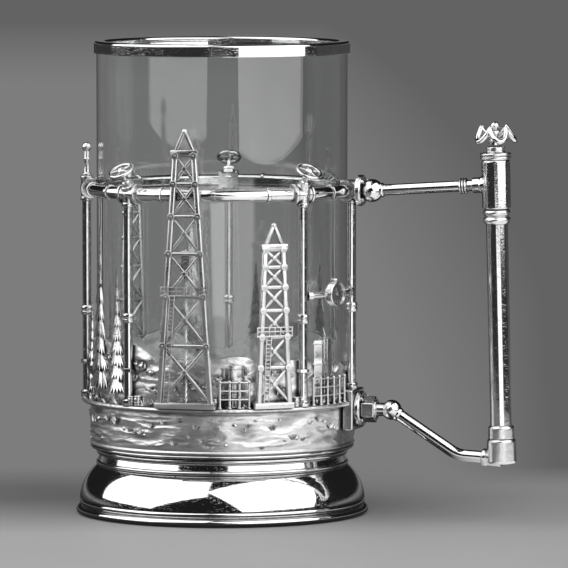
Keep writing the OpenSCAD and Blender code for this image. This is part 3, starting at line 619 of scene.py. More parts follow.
# Small leaves heaped to a half round, the outer ones leaning out
def bush(whole, turn, radius, z, size, dice):
    part = bmesh.new()
    bmesh.ops.create_icosphere(part, subdivisions=2, radius=size * 0.62)
    bmesh.ops.scale(part, vec=(0.5, 1.1, 1), verts=part.verts)
    bmesh.ops.translate(part, verts=part.verts, vec=(0, 0, size * 0.3))
    for k in range(scatter["leaves"]):
        side, up = dice.uniform(-1, 1), dice.random()
        leaf = bmesh.new()
        bmesh.ops.create_cone(leaf, cap_ends=True, segments=4, radius1=size * 0.17, radius2=size * 0.02,
                              depth=size * 0.42)
        spot = Vector((dice.uniform(0.05, 0.4), side * (1 - up * 0.55), 0.05 + up * 0.85)) * size
        addPart(part, leaf, Matrix.Translation(spot) @ Matrix.Rotation(dice.uniform(-0.4, 0.4) - side, 4, "X")
                @ Matrix.Rotation(dice.uniform(0.1, 0.9), 4, "Y") @ Matrix.Diagonal((0.45, 1, 1, 1)))
    addPart(whole, part, spun(turn) @ moved(radius, 0, z))


def barrel(whole, turn, radius, size):
    outline = [(0, 0), (0.8, 0)]
    for low in scatter["barrelHoops"]:
        side = 0.86 + 0.12 * math.sin(low / 2.5 * math.pi)
        outline += [(side, low), (side + 0.1, low + 0.04), (side + 0.1, low + 0.26), (side, low + 0.3)]
    outline += [(0.84, 2.66), (0.72, 2.7), (0.7, 2.58), (0, 2.58)]
    outline = [(r * size, h * size) for r, h in outline]
    turned(whole, outline, spun(turn) @ moved(radius, 0, groundLevel), 28, 0.03)


def turnsRound(dice, count, loose=1):
    for k in range(count):
        yield -360 * (k + dice.random() * loose) / count


def besidePad(turn, gap=scatter["gap"]):
    return abs((turn + 180) % 360 - 180) < gap


def onHill(dice, turn, low, high):
    return groundLevel + hillHeight(turn) * dice.uniform(low, high)


def makeScatter():
    dice = random.Random(scatter["seed"])
    rocks, grass, bushes, barrels = [bmesh.new() for k in range(4)]
    for turn in turnsRound(dice, scatter["rocks"], 0.8):
        high, size = dice.choice([0, 0, 1]), dice.uniform(*scatter["rock"])
        if besidePad(turn):
            continue
        if high:
            rock(rocks, turn, hillRadius + 0.15, onHill(dice, turn, 0.1, 0.75), size * 0.9)
        else:
            rock(rocks, turn, hillRadius + dice.uniform(0.4, 1.3), groundLevel + size * 0.25, size)
    for turn in turnsRound(dice, scatter["tufts"]):
        size = dice.uniform(*scatter["tuft"])
        if besidePad(turn):
            continue
        if dice.random() < 0.45:
            tuft(grass, turn, hillRadius + 0.35, onHill(dice, turn, 0.15, 0.8), size * 0.8, dice)
        else:
            tuft(grass, turn, hillRadius + dice.uniform(0.6, 1.6), groundLevel - 0.1, size, dice)
    for turn in turnsRound(dice, scatter["bushes"]):
        size = dice.uniform(*scatter["bush"])
        if besidePad(turn, scatter["bushGap"]):
            continue
        high = dice.random() < 0.6
        z = onHill(dice, turn, 0.2, 0.9) if high else groundLevel
        bush(bushes, turn, hillRadius + (0.35 if high else 1.0), z - size * 0.15, size, dice)
    for turn, out, size in ground["barrels"]:
        barrel(barrels, turn, hillRadius + out, size)
    for turn in turnsRound(dice, scatter["onBand"]):
        if besidePad(turn):
            continue
        if dice.random() < 0.5:
            rock(rocks, turn, bandRadius + 0.1, dice.uniform(20.5, 28.5), dice.uniform(*scatter["bandRock"]))
        else:
            tuft(grass, turn, bandRadius + 0.25, dice.uniform(20.2, 27.2), dice.uniform(*scatter["bandTuft"]),
                 dice)
    finished(bushes, "leafyClumps", "treeCasting", slot="cast_relief", sharp=50)
    finished(barrels, "oilBarrels", "fittingPolish", slot="cast_relief")
    finished(rocks, "scatteredRocks", "treeCasting", slot="cast_relief")
    finished(grass, "grassTufts", "treeCasting", slot="cast_relief", sharp=20)


makeScatter()
print("rocks and grass made")

# Fir trees: tiers of drooping boughs in half relief on a tapered trunk

# Each tree is a turn and a share of the full height. Width and trunk are shares of a tree's own height.
firs = {"seed": 21, "height": 44, "width": 0.135, "tiers": 9, "trunk": 0.1, "depth": 1.5, "boughs": 11,
        "left": [(-124.7, 0.78), (-140, 1), (-153.4, 0.6), (-171, 0.48)],
        "rear": [(-181, 0.66), (-191.5, 0.5), (-224, 0.62), (-237.5, 0.94)],
        "right": [(-268, 0.72), (-306, 0.8), (-320.5, 1), (-333.5, 0.56)]}


def makeFir(whole, turn, share, dice):
    height, tiers = firs["height"] * share, firs["tiers"]
    half, foot = height * firs["width"], height * firs["trunk"]
    tier = (height - foot) / tiers
    part = bmesh.new()
    shaft(part, [(0, half * 0.24), (foot, half * 0.17), (height * 0.9, half * 0.05)], steps=14, soft=0)
    for k in range(tiers):
        spread, z = half * (1 - k / (tiers + 0.6)), foot + tier * k
        bough = bmesh.new()
        made = bmesh.ops.create_cone(bough, cap_ends=True, cap_tris=True, radius1=spread,
                                     radius2=spread * 0.30, depth=tier * 1.5,
                                     segments=2 * (firs["boughs"] + tiers - k))
        bmesh.ops.translate(bough, verts=bough.verts, vec=(0, 0, z + tier * 0.75))
        skirt = [v for v in made["verts"] if v.co.z < z + tier * 0.2 and v.co.xy.length > spread * 0.5]
        for i, v in enumerate(sorted(skirt, key=lambda v: math.atan2(v.co.y, v.co.x))):
            if i % 2:  # between two tips
                v.co.xy *= 0.78
                v.co.z += tier * 0.28
            else:
                v.co.xy *= dice.uniform(0.92, 1.04)
                v.co.z -= tier * dice.uniform(0.0, 0.3)
        tall = [e for e in bough.edges if abs(e.verts[0].co.z - e.verts[1].co.z) > tier]
        bmesh.ops.subdivide_edges(bough, edges=tall, cuts=1)
        for v in bough.verts:  # droops between its top and its tips
            if z + tier * 0.5 < v.co.z < z + tier * 1.2:
                v.co.xy *= 0.92
        addPart(part, bough)
    bmesh.ops.scale(part, vec=(firs["depth"] / half * 1.15, 1, 1), verts=part.verts)
    cutBehind(part, 0)
    addPart(whole, part, spun(turn) @ moved(reliefRadius, 0, groundLevel))


def makeFirs():
    dice = random.Random(firs["seed"])
    for side in ("left", "rear", "right"):
        trees = [(makeFir, turn, share, dice) for turn, share in firs[side]]
        makePiece("firs" + side.title(), "treeCasting", "firs_" + side, *trees, slot="cast_relief", sharp=25)


makeFirs()
print("fir trees made")

# Lattice towers

# Each place is a turn, a share of the full size and the node that the tower stands for
tower = {"height": 65, "foot": 14, "top": 5, "at": 37.85, "leg": 1.5, "girt": 1.0, "brace": 0.8, "panels": 6,
         "shrink": 0.87, "plinth": 1.6, "crown": 1.5, "gusset": 0.95, "deckPanel": 2,
         "places": {"towerFront": (-87, 1, "tower_front"), "towerSmall": (-51, 0.62, "tower_small"),
                    "towerRear": (-208, 0.8, "tower_rear")}}
deck = {"deep": 1.75, "thick": 0.4, "past": 1.5, "rail": 2.3, "post": 0.24, "posts": 7, "bars": (0.55, 1),
        "railOut": 0.75, "ladderOut": 0.88, "ladder": (1.2, 2.5), "stile": 0.26, "rung": 1.05}


# A rounded square bar between two points
def bar(whole, p, q, wide, deep, place):
    p, q = Vector(p), Vector(q)
    block(whole, (deep, wide, (q - p).length), place @ Matrix.Translation((p + q) / 2)
          @ Matrix.Rotation(math.atan2(p.y - q.y, q.z - p.z), 4, "X"), soft=1, segments=3)


# The share of the height below panel k, each panel being lower than the one under it
def levelShare(k):
    return (1 - tower["shrink"] ** k) / (1 - tower["shrink"] ** tower["panels"])


# A working deck with its rail, and the ladder that goes up to it beside one leg
def makeDeck(bm, place, corner, rise):
    half, level = corner(1, rise).y + deck["past"], corner(1, rise).z + 0.25
    rail, post, out, posts = deck["rail"], deck["post"], deck["railOut"], deck["posts"]
    block(bm, (deck["deep"], half * 2, deck["thick"]), place @ moved(0.02, 0, level), 0.08)
    for k in range(posts):
        aside = half * 0.96 * (k / (posts // 2) - 1)
        block(bm, (post, post, rail), place @ moved(out, aside, level + rail / 2), 0.05)
    for high in deck["bars"]:
        block(bm, (post, half * 2, 0.26), place @ moved(out, 0, level + rail * high), 0.06)
    foot, head, out = corner(-1, 0), corner(-1, rise), deck["ladderOut"]
    stiles = [(Vector((out, foot.y + step, foot.z)), Vector((out, head.y + step, level)))
              for step in deck["ladder"]]
    for low, high in stiles:
        bar(bm, low, high, deck["stile"], deck["stile"], place)
    rungs = round((level - foot.z) / deck["rung"])
    for k in range(1, rungs):
        left, right = [low.lerp(high, k / rungs) for low, high in stiles]
        block(bm, (0.18, (right - left).length, 0.2), place @ Matrix.Translation((left + right) / 2), 0.05)


def makeTower(name, turn, share, stands):
    bm = bmesh.new()
    place = spun(turn) @ moved(tower["at"], 0, 0)
    foot, height, low = tower["foot"] * share, tower["height"] * share, groundLevel + tower["plinth"]
    top, leg, crown, gusset = tower["top"], tower["leg"], tower["crown"], tower["gusset"]

    def corner(side, rise):
        return Vector((0, side * (foot + (top - foot) * rise) / 2, low + height * rise))

    for side in (-1, 1):
        bar(bm, corner(side, 0) - Vector((0, 0, 0.8)), corner(side, 1), leg, leg, place)
    for k in range(tower["panels"]):
        lower, upper = levelShare(k), levelShare(k + 1)
        bar(bm, corner(-1, upper), corner(1, upper), tower["girt"], 1.2, place)
        for side in (-1, 1):  # a brace and its bolted gusset, the one brace over the other
            bar(bm, corner(side, lower), corner(-side, upper), tower["brace"], 0.85 + side * 0.12, place)
            where = place @ Matrix.Translation(corner(side, upper)) @ outward
            shaft(bm, [(0, gusset), (0.95, gusset)], where, steps=20)
            shaft(bm, [(0.9, 0.32), (1.12, 0.26)], where, steps=12, soft=0.05)
        crossing = (corner(-1, lower) + corner(1, lower)) / 2
        widths = [corner(1, s).y for s in (lower, upper)]
        crossing.z += (corner(1, upper).z - corner(1, lower).z) * widths[0] / sum(widths)
        shaft(bm, [(0, 0.62), (0.78, 0.62)], place @ Matrix.Translation(crossing) @ outward, steps=16)
    makeDeck(bm, place, corner, levelShare(tower["deckPanel"]))
    peak = low + height + crown
    block(bm, (1.8, top + 2.4, crown), place @ moved(0, 0, peak - crown / 2), 0.2)
    for side in (-1, 1):
        bar(bm, (0, side * top / 2, peak - 0.7), (0, 0, peak + top), 0.95, 1.15, place)
    ballOn(bm, 0.8, place @ moved(0, 0, peak + top - 0.2), 16)
    wide, depth, plinth = foot + 2.4, tower["at"] + 0.85 - reliefRadius, tower["plinth"]
    middle = spun(turn) @ moved(reliefRadius + depth / 2, 0, low - plinth / 2)
    block(bm, (depth, wide, plinth), middle, 0.18)
    for side in (-1, 1):
        hexagon(bm, 0.55, 0.5, place @ moved(0, side * (wide / 2 - 0.75), low), 0.06)
    finished(bm, name, "latticeCasting", stands, slot="cast_relief")


for name, (turn, share, stands) in tower["places"].items():
    makeTower(name, turn, share, stands)

hoist = {"at": 36.74, "turn": -87, "foot": 32.8, "top": 73.1, "strand": 0.23, "lay": 0.17, "twist": 2.2,
         "block": (1.2, 2.6, 7.8), "blockFoot": 65.3, "hook": 1.05, "hookWire": 0.28}


def makeHoist():
    bm = bmesh.new()
    place = spun(hoist["turn"]) @ moved(hoist["at"], 0, 0)
    foot, top, lay, twist = hoist["foot"], hoist["top"], hoist["lay"], hoist["twist"]
    for side in (0, math.pi):  # the line is laid of two strands
        turns = [(lay * math.cos(side + z * twist), lay * math.sin(side + z * twist), z)
                 for z in [foot + (top - foot) * k / 160 for k in range(161)]]
        followed(bm, turns, hoist["strand"], 8, place)
    (deep, wide, tall), low, hook = hoist["block"], hoist["blockFoot"], hoist["hook"]
    block(bm, (deep * 0.7, wide, tall * 0.6), place @ moved(0, 0, low + tall * 0.66), 0.3, 3)
    for z in (0.52, 0.8):
        shaft(bm, [(-0.55, 0.85), (0.45, 0.85)], place @ moved(0, 0, low + tall * z) @ outward, steps=24)
    bend = [math.radians(100 - k * 15) for k in range(18)]
    bend = [(0, hook * math.cos(a), low + 1.35 + hook * math.sin(a)) for a in bend]
    followed(bm, bend, hoist["hookWire"], 10, place)
    finished(bm, "hoistLine", "latticeCasting", "tower_hoist", slot="cast_relief")


makeHoist()
print("towers made")

# Storage tanks in half relief

# Each place is a turn, a share of the full size and the node that the tank stands for
tank = {"radius": 6.8, "height": 17, "out": 1.3, "hoops": [0.02, 0.33, 0.64, 0.97], "ladderTurn": -9,
        "ladderOut": 0.42, "rung": 1.3,
        "places": {"tankLarge": (-22, 1, "tank_large"), "tankSmall": (-67.4, 0.66, "tank_small"),
                   "tankRear": (-286, 1, "tank_rear")}}


def makeTank(name, turn, share, stands):
    bm = bmesh.new()
    r, h = tank["radius"] * share, tank["height"] * share
    centre = moved(reliefRadius + tank["out"] - r, 0, groundLevel)
    outline = [(0, 0), (r, 0)]
    for hoop in tank["hoops"]:
        z = (h - 0.5) * hoop
        outline += [(r, z), (r + 0.25, z + 0.08), (r + 0.25, z + 0.42), (r, z + 0.5)]
    peak = h * 1.16
    outline += [(r, h), (r * 0.96, h + 0.12), (r * 0.16, peak), (r * 0.16, peak + 0.5), (0, peak + 0.55)]
    turned(bm, outline, centre, steps=128, soft=0.07)
    for k in range(-3, 4):  # upright seams of the plates
        seam = centre @ spun(k * 8.5 + 3)
        block(bm, (0.12, 0.2, h * 0.3), seam @ moved(r, 0, h * (0.17 if k % 2 else 0.49)), 0.04)
    ladder, out, rung = centre @ spun(tank["ladderTurn"]), r + tank["ladderOut"], tank["rung"]
    for side in (-1, 1):
        block(bm, (0.22, 0.22, h), ladder @ moved(out, side * 0.5, h / 2 + 0.3), 0.06)
    for k in range(round(h / rung)):
        block(bm, (0.16, 1.0, 0.16), ladder @ moved(out, 0, 0.9 + k * rung), 0.05)
    cutBehind(bm, reliefRadius)
    bmesh.ops.recalc_face_normals(bm, faces=bm.faces)
    bm.transform(spun(turn))
    finished(bm, name, "fittingPolish", stands, slot="cast_relief")


for name, (turn, share, stands) in tank["places"].items():
    makeTank(name, turn, share, stands)

railing = {"radius": 37.1, "height": 7.0, "post": 0.35, "bar": 0.25, "bars": (0.36, 0.68, 1), "pitch": 4.5,
           "runs": [(-73, -61), (-31.5, -11)]}


def makeRailing():
    bm = bmesh.new()
    radius, height, post = railing["radius"], railing["height"], railing["post"]
    sections = [(0, post * 1.7), (0.4, post * 1.7), (0.5, post), (height, post * 0.85)]
    for start, end in railing["runs"]:
        count = math.ceil((end - start) / railing["pitch"])
        for k in range(count + 1):
            place = spun(start + (end - start) * k / count) @ moved(radius, 0, groundLevel)
            shaft(bm, sections, place, 20, 0.06)
            ballOn(bm, post * 1.35, place @ moved(0, 0, height + 0.1), 14)
        for share in railing["bars"]:
            pairs = evenPairs(start, end, 24, railing["bar"])
            ringBody(bm, pairs, radius, groundLevel + height * share, sides=12)
    finished(bm, "shelfRailing", "latticeCasting", "railing", slot="cast_relief")


makeRailing()
print("tanks and railing made")

# Ring main: pipes, valves, tees, risers, mast and bridge

# Joints are (turn, radius) pairs, the other lists of pairs are (height, radius)
mainPipe = {"pipe": 1.7, "body": 2.3, "collar": 2.8, "socket": 1.7, "drop": 3.3, "tilt": 30, "neck": 1.5,
            "wheel": 3.1, "rim": 0.5, "rimLevel": 7.1, "stem": 0.6, "hub": 1.1,
            "spoke": [0.42, 0.36, 0.3, 0.36], "valves": (1, 2, 4), "teeFace": 38.16, "mastAt": 3,
            "riserFoot": 34.2, "clip": 9, "clear": 0.15,
            "joint": [(-0.75, 1.72), (-0.7, 1.98), (-0.55, 2.06), (0.55, 2.06), (0.7, 1.98), (0.75, 1.72)],
            "mastSocket": [(0, 1.55), (2.3, 1.55), (2.4, 1.7), (3.3, 1.7)],
            "mast": [(0, 1.28), (0.6, 1.28), (0.9, 0.8), (4.2, 0.7), (4.3, 0.95), (4.7, 0.95), (4.8, 0.7),
                     (7.7, 0.62)],
            "riserLow": [(0, 1.7), (1.5, 1.7), (1.65, 1.2)],
            "riserJoint": [(-1.2, 1.2), (-1.1, 1.55), (-0.3, 1.62), (-0.25, 1.4), (0.25, 1.4), (0.3, 1.62),
                           (1.1, 1.55), (1.2, 1.2)]}


# Lengths of pipe between the fittings, with slim rings where two lengths meet
def makeRingPipes():
    for i, start in enumerate(fittingTurns):
        end = fittingTurns[i + 1] if i + 1 < len(fittingTurns) else fittingTurns[0] - 360
        low, high = end + fittingHalf, start - fittingHalf
        profiles = [evenPairs(low, high, max(6, round((high - low) / 1.5)), mainPipe["pipe"])]
        joints = max(1, round((high - low) / 24))
        profiles += [lifted(mainPipe["joint"], low + (high - low) * (k + 0.5) / joints)
                     for k in range(joints)]
        makePiece(f"ringPipe{i + 1}", "pipePolish", f"ring_pipe_{i + 1}",
                  *[(ringBody, profile, ringRadius, ringLevel, sleeveIn) for profile in profiles])


# The body that every fitting has: a collar at each end and a socket for its riser
def fittingBody(bm, turn):
    half, body, collar, socket = fittingHalf, mainPipe["body"], mainPipe["collar"], mainPipe["socket"]
    profile = [(-half, body + 0.2), (-half + 0.12, collar - 0.06), (-half + 0.3, collar),
               (-half + 1.0, collar), (-half + 1.18, collar - 0.06), (-half + 1.3, body + 0.06),
               (-half + 1.7, body - 0.05), (-2.0, body), (-1.4, body + 0.12), (-0.7, body + 0.18),
               (0, body + 0.2)]
    profile += [(-u, r) for u, r in reversed(profile[:-1])]
    ringBody(bm, lifted(profile, turn), ringRadius, ringLevel, sleeveIn)
    low = ringLevel - mainPipe["drop"]
    sections = [(low, socket), (low + 0.9, socket), (low + 1.0, socket - 0.15), (ringLevel, socket - 0.15)]
    shaft(bm, sections, spun(turn) @ moved(riserAt, 0, 0), 40)


def makeValves():
    neck, stem, hub = mainPipe["neck"], mainPipe["stem"], mainPipe["hub"]
    wheel, rim, level = mainPipe["wheel"], mainPipe["rim"], mainPipe["rimLevel"]
    tilt = Matrix.Rotation(math.radians(mainPipe["tilt"]), 4, "Y")
    bonnet = [(0, neck * 1.25), (2.7, neck * 1.25), (2.9, neck), (3.3, neck), (4.2, neck * 0.62)]
    boss = [(4.2, stem), (6.4, stem), (6.45, hub), (7.5, hub), (7.8, hub * 0.72), (8.1, hub * 0.3)]
    spoke = [(hub * 0.5, 0, 7.05), (wheel * 0.35, 0, 7.25), (wheel * 0.7, 0, 7.2), (wheel, 0, level)]
    for number, i in enumerate(mainPipe["valves"], start=1):
        place = spun(fittingTurns[i]) @ moved(ringRadius, 0, ringLevel) @ tilt
        makePiece(f"valve{number}", "fittingPolish", f"valve_{number}", (fittingBody, fittingTurns[i]),
                  (shaft, bonnet, place, 40), (hexagon, neck * 1.12, 0.8, place @ moved(0, 0, 3.0), 0.08))
        makePiece(f"valveWheel{number}", "fittingPolish", f"valve_wheel_{number}",
                  (shaft, boss, place, 32, 0.1),
                  (turned, arcPoints(wheel, level, rim, 0, 345, 15), place, 72, 0, True),
                  *[(followed, spoke, mainPipe["spoke"], 12, place @ spun(k * 72 + 12)) for k in range(5)])


def makeTees():
    face, mastTurn = mainPipe["teeFace"] - ringRadius, fittingTurns[mainPipe["mastAt"]]
    makePiece("handleTee", "fittingPolish", "handle_tee", (fittingBody, 0),
              (shaft, [(0, 2.8), (face - 0.9, 2.62), (face - 0.8, 2.8), (face, 2.8)],
               moved(ringRadius, 0, ringLevel) @ outward))
    makePiece("mastTee", "fittingPolish", "mast_tee", (fittingBody, mastTurn),
              (shaft, lifted(mainPipe["mastSocket"], ringLevel), spun(mastTurn) @ moved(riserAt, 0, 0), 40))


# The hill castings and the glass stay clear of the pipe
def keepClear(bm, nearest):
    for v in bm.verts:
        if v.co.xy.length < nearest:
            v.co.xy *= nearest / v.co.xy.length


def makeRisers():
    top = ringLevel - mainPipe["drop"]
    for i, turn in enumerate(fittingTurns):
        foot = groundLevel if i else mainPipe["riserFoot"]
        place = spun(turn) @ moved(riserAt, 0, 0)
        sections = lifted(mainPipe["riserLow"], foot)
        sections += lifted(mainPipe["riserJoint"], foot + (top - foot) * 0.44) + [(top, 1.2)]
        rows = [(shaft, sections, place, 48, 0.1)]
        if i:  # a clip that holds the pipe to the hills
            rows.append((hexagon, 1.75, 0.9, place @ moved(0, 0, foot + mainPipe["clip"]), 0.1))
        makePiece(f"riser{i}" if i else "riserHandle", "pipePolish", f"riser_{i}" if i else "riser_handle",
                  *rows, (keepClear, sleeveIn + mainPipe["clear"]))
    place = spun(fittingTurns[mainPipe["mastAt"]]) @ moved(riserAt, 0, ringLevel + 3.3)
    makePiece("mastPole", "fittingPolish", "mast", (shaft, mainPipe["mast"], place, 40),
              (ballOn, 1.28, place @ moved(0, 0, 7.7), 28), slot="cast_relief")


bridge = {"level": 60.32, "pipe": 0.9, "start": -34.05, "end": -1.95, "gauge": -18, "radius": 3.4,
          "thick": 1.9, "joint": [(-1.2, 1.25), (-0.95, 1.35), (0.95, 1.35), (1.2, 1.1)], "dialMarks": 9}


def makeBridge():
    start, end, level, r, thick = [bridge[key] for key in ("start", "end", "level", "radius", "thick")]
    place = spun(bridge["gauge"]) @ moved(riserAt, 0, level) @ outward
    case = [(0, -0.9), (r * 0.8, -0.9), (r * 0.94, -0.4), (r, 0.2), (r, thick - 0.25), (r - 0.2, thick),
            (r - 0.45, thick), (r - 0.6, thick - 0.45), (0, thick - 0.45)]
    makePiece("pipeBridge", "fittingPolish", "pipe_bridge",
              (ringBody, evenPairs(start, end, 30, bridge["pipe"]), riserAt, level, 0, 24),
              *[(ringBody, lifted(bridge["joint"], at), riserAt, level) for at in (start + 1.2, end - 1.2)],
              (turned, case, place, 72, 0.08),
              (hexagon, 0.9, 1.0, place @ moved(-r - 0.7, 0, 0.5) @ outward, 0.08))
    bm = bmesh.new()
    for k in range(bridge["dialMarks"]):  # plain marks round the dial, and its hand
        mark = place @ spun(-120 + k * 30) @ moved(r * 0.62, 0, thick - 0.42)
        block(bm, (0.5 if k % 2 else 0.75, 0.14, 0.12), mark, 0.02)
    block(bm, (2.3, 0.2, 0.14), place @ spun(205) @ moved(0.7, 0, thick - 0.32), 0.04)
    shaft(bm, [(thick - 0.5, 0.36), (thick - 0.2, 0.3)], place, 20, 0.05)
    finished(bm, "gaugeDial", "dialSatin")


makeRingPipes()
makeValves()
makeTees()
makeRisers()
makeBridge()
print("ring main made")

# Handle

# Pairs are a height along the piece's own way and the radius there, outlines are (radius, height)
handle = {"face": 38.16, "flange": 1.5, "upperLevel": 87.2, "lowerLevel": 28.8, "elbow": (77.86, 18.7),
          "lean": 1.4, "flangeRadius": {"upper": 4.2, "lower": 4.8}, "boltTurn": 45, "boltHead": 0.72,
          "boltHigh": 0.65, "bolt": [(-0.05, 0.66), (0.12, 0.66)], "boltEnd": [(0.5, 0.34), (0.78, 0.3)],
          "balls": {"upper": {"radius": 3.1, "seat": 0.75, "flat": 0.84, "collar": 1.95},
                    "lower": {"radius": 2.7, "seat": 0.68, "flat": 0.78, "collar": 1.9}},
          "upperArm": 1.5, "bossLong": 2.4, "neckLong": 1.6, "couplingLong": 2.2,
          "ring": [(0, 1.62), (0.12, 2.0), (0.32, 2.15), (0.52, 2.0), (0.64, 1.62)],
          "boss": [(-1.6, 1.5), (-0.1, 1.5), (0, 2.1), (1.9, 2.1), (2.3, 2.35), (4, 2.5)],
          "barrelRadius": 3.8, "barrelRise": 2.3, "barrelLong": 13,
          "barrel": [(0, 3.5), (0.25, 3.8), (12.6, 3.8), (13, 3.62)],
          "gland": [(1.06, 0), (3.9, 0), (4.15, 0.3), (4.15, 0.75), (3.85, 0.95), (4.15, 1.15), (4.15, 1.6),
                    (3.9, 1.9), (2.7, 1.98), (2.5, 2.3), (2.5, 3.3), (2.3, 3.5), (1.06, 3.5)],
          "collarHigh": 3.9, "collarBead": 0.97, "tube": 2.9, "tubeFoot": 6.9,
          "elbowCollar": [(3.3, 3.3), (3.5, 3.5), (6.3, 3.5), (6.75, 3.2), (6.9, 2.95)],
          "elbowBody": [(-3.3, 3.2), (-3.1, 3.7), (-2.7, 3.89), (2.8, 3.89), (3.3, 3.55)],
          "elbowSocket": [(-5.2, 2.1), (-5.05, 2.3), (-4.0, 2.3), (-3.9, 2.12), (-3.2, 2.12), (0, 2.2)],
          "lowerArm": 1.6, "bend": 0.6, "bendReach": 2.2, "union": 3.6, "unionNeck": 2.4,
          "unionStub": [(3.4, 2.7), (3.85, 2.55), (3.95, 1.8), (6.2, 1.8)], "padBack": 35.34, "padWide": 10.8}
leanTurn = math.radians(handle["lean"])
postWay = Vector((-math.sin(leanTurn), math.cos(leanTurn)))
elbowAt = Vector(handle["elbow"])
flangeOut = handle["face"] + handle["flange"]
barrelMiddle = elbowAt + postWay * ((handle["upperLevel"] + handle["barrelRise"] - elbowAt.y) / postWay.y)
barrelLow = (barrelMiddle - elbowAt).length - handle["barrelLong"] / 2
barrelTop = barrelLow + handle["barrelLong"]
upperOut, lowerOut = [ball["radius"] * ball["seat"] for ball in handle["balls"].values()]
upperBall = Vector((flangeOut + upperOut, handle["upperLevel"]))
lowerBall = Vector((flangeOut + handle["union"] + handle["unionNeck"] + lowerOut, handle["lowerLevel"]))
armWay = (barrelMiddle - upperBall).normalized()
armLong = (barrelMiddle - upperBall).length


def onPost(s=0):
    return along(elbowAt + postWay * s, postWay)


def makeFlange(side):
    place = moved(handle["face"], 0, handle[side + "Level"]) @ outward
    radius, thick, head = handle["flangeRadius"][side], handle["flange"], handle["boltHead"]
    outline = [(0, 0), (radius - 0.15, 0), (radius, 0.15), (radius, thick - 0.3), (radius - 0.3, thick),
               (0, thick)]
    makePiece(side + "Flange", "fittingPolish", side + "_flange", (turned, outline, place, 96))
    rows = []
    for k in range(4):
        spot = place @ spun(handle["boltTurn"] + 90 * k) @ moved(radius - head - 0.05, 0, 0)
        rows += [(shaft, lifted(handle["bolt"], thick), spot, 24, 0.04),
                 (hexagon, head * 0.9, handle["boltHigh"], spot @ moved(0, 0, thick), 0.09),
                 (shaft, lifted(handle["boltEnd"], thick), spot, 16, 0.08)]
    makePiece(side + "Bolts", "fittingPolish", side + "_bolts", *rows)


# A ball cut flat where it meets its flange, with a raised collar where the arm leaves it
def makeBallJoint(side, centre, way):
    radius, seat, flat, collar = handle["balls"][side].values()
    seat, flat = radius * seat, radius * flat
    outline = [(0, -seat)] + arcPoints(0, 0, radius, math.degrees(math.asin(-seat / radius)), 90, 30)
    neck = [(flat - 0.9, collar), (flat + 0.35, collar), (flat + 0.75, collar * 0.9)]
    makePiece(side + "Ball", "pipePolish", side + "_ball", (turned, outline, along(centre, (1, 0)), 72, 0),
              (shaft, neck, along(centre, way), 48, 0.2))


def makeUpperArm():
    makeBallJoint("upper", upperBall, armWay)
    boss = armLong - handle["barrelRadius"] - handle["bossLong"]
    low = boss - handle["neckLong"] - handle["couplingLong"]
    thick, place = handle["upperArm"], along(upperBall, armWay)
    arm = [(2.4, thick), (low + 0.2, thick)]
    makePiece("upperArm", "pipePolish", "upper_arm", (shaft, arm, place, 64, 0.05))
    rings = [(low, 1.55)]
    for k in range(3):  # three rolled rings
        rings += lifted(handle["ring"], low + 0.1 + k * 0.7)
    rings.append((low + handle["couplingLong"], 1.55))
    makePiece("armCoupling", "fittingPolish", "arm_coupling", (shaft, rings, place, 64, 0.05))
    makePiece("postBarrel", "pipePolish", "post_barrel",
              (shaft, lifted(handle["barrel"], barrelLow), onPost(), 96, 0.2),
              (shaft, lifted(handle["boss"], boss), place, 64, 0.15))


def makePost():
    makePiece("glandCap", "fittingPolish", "gland",
              (turned, handle["gland"], onPost(barrelTop), 96, 0.12, True))
    high, bead = handle["collarHigh"], handle["collarBead"]
    outline = [(0, 0), (3.35, 0), (3.62, 0.35)] + arcPoints(2.72, 0.98, bead, -35, 60, 8) + [(3.18, high / 2)]
    outline += arcPoints(2.72, 2.92, bead, -60, 60, 10) + [(3.1, high), (0, high)]
    makePiece("postCollar", "fittingPolish", "post_collar",
              (turned, outline, onPost(barrelLow - high), 96, 0.05))
    tube = [(handle["tubeFoot"], handle["tube"]), (barrelLow - high, handle["tube"])]
    makePiece("postTube", "pipePolish", "post_tube", (shaft, tube, onPost(), 96, 0.04))
    makePiece("elbowCollar", "fittingPolish", "elbow_collar",
              (shaft, handle["elbowCollar"], onPost(), 96, 0.2))


def makeLowerArm():
    socketAt = elbowAt - Vector((0, 2))
    bend = Vector((lowerBall.x + (elbowAt.x - lowerBall.x) * handle["bend"], socketAt.y + 0.6))
    way, endWay = (bend - lowerBall).normalized(), (socketAt - bend).normalized()
    makePiece("lowerElbow", "fittingPolish", "lower_elbow", (shaft, handle["elbowBody"], onPost(), 96, 0.3),
              (shaft, handle["elbowSocket"], along(socketAt, endWay)))
    makeBallJoint("lower", lowerBall, way)
    start, end = lowerBall + way * 1.9, socketAt - endWay * 5.0
    first, last = bend - way * handle["bendReach"], bend + endWay * handle["bendReach"]
    path = [start + (first - start) * k / 8 for k in range(9)] + cornerPoints(first, bend, last, 10)[1:]
    path += [last + (end - last) * k / 4 for k in range(1, 5)]
    makePiece("lowerArm", "pipePolish", "lower_arm",
              (followed, [(p.x, 0, p.y) for p in path], handle["lowerArm"], 48))
    place = moved(flangeOut, 0, handle["lowerLevel"]) @ outward
    makePiece("lowerUnion", "fittingPolish", "lower_union", (hexagon, 3.6, handle["union"], place, 0.28),
              (shaft, handle["unionStub"], place, 64, 0.15))
    face, back, wide = handle["face"], handle["padBack"], handle["padWide"]
    makePiece("lowerPad", "fittingPolish", "lower_pad",
              (block, (face - back, wide, wide), moved((face + back) / 2, 0, handle["lowerLevel"]), 0.45, 4))


makeFlange("upper")
makeFlange("lower")
makeUpperArm()
makePost()
makeLowerArm()

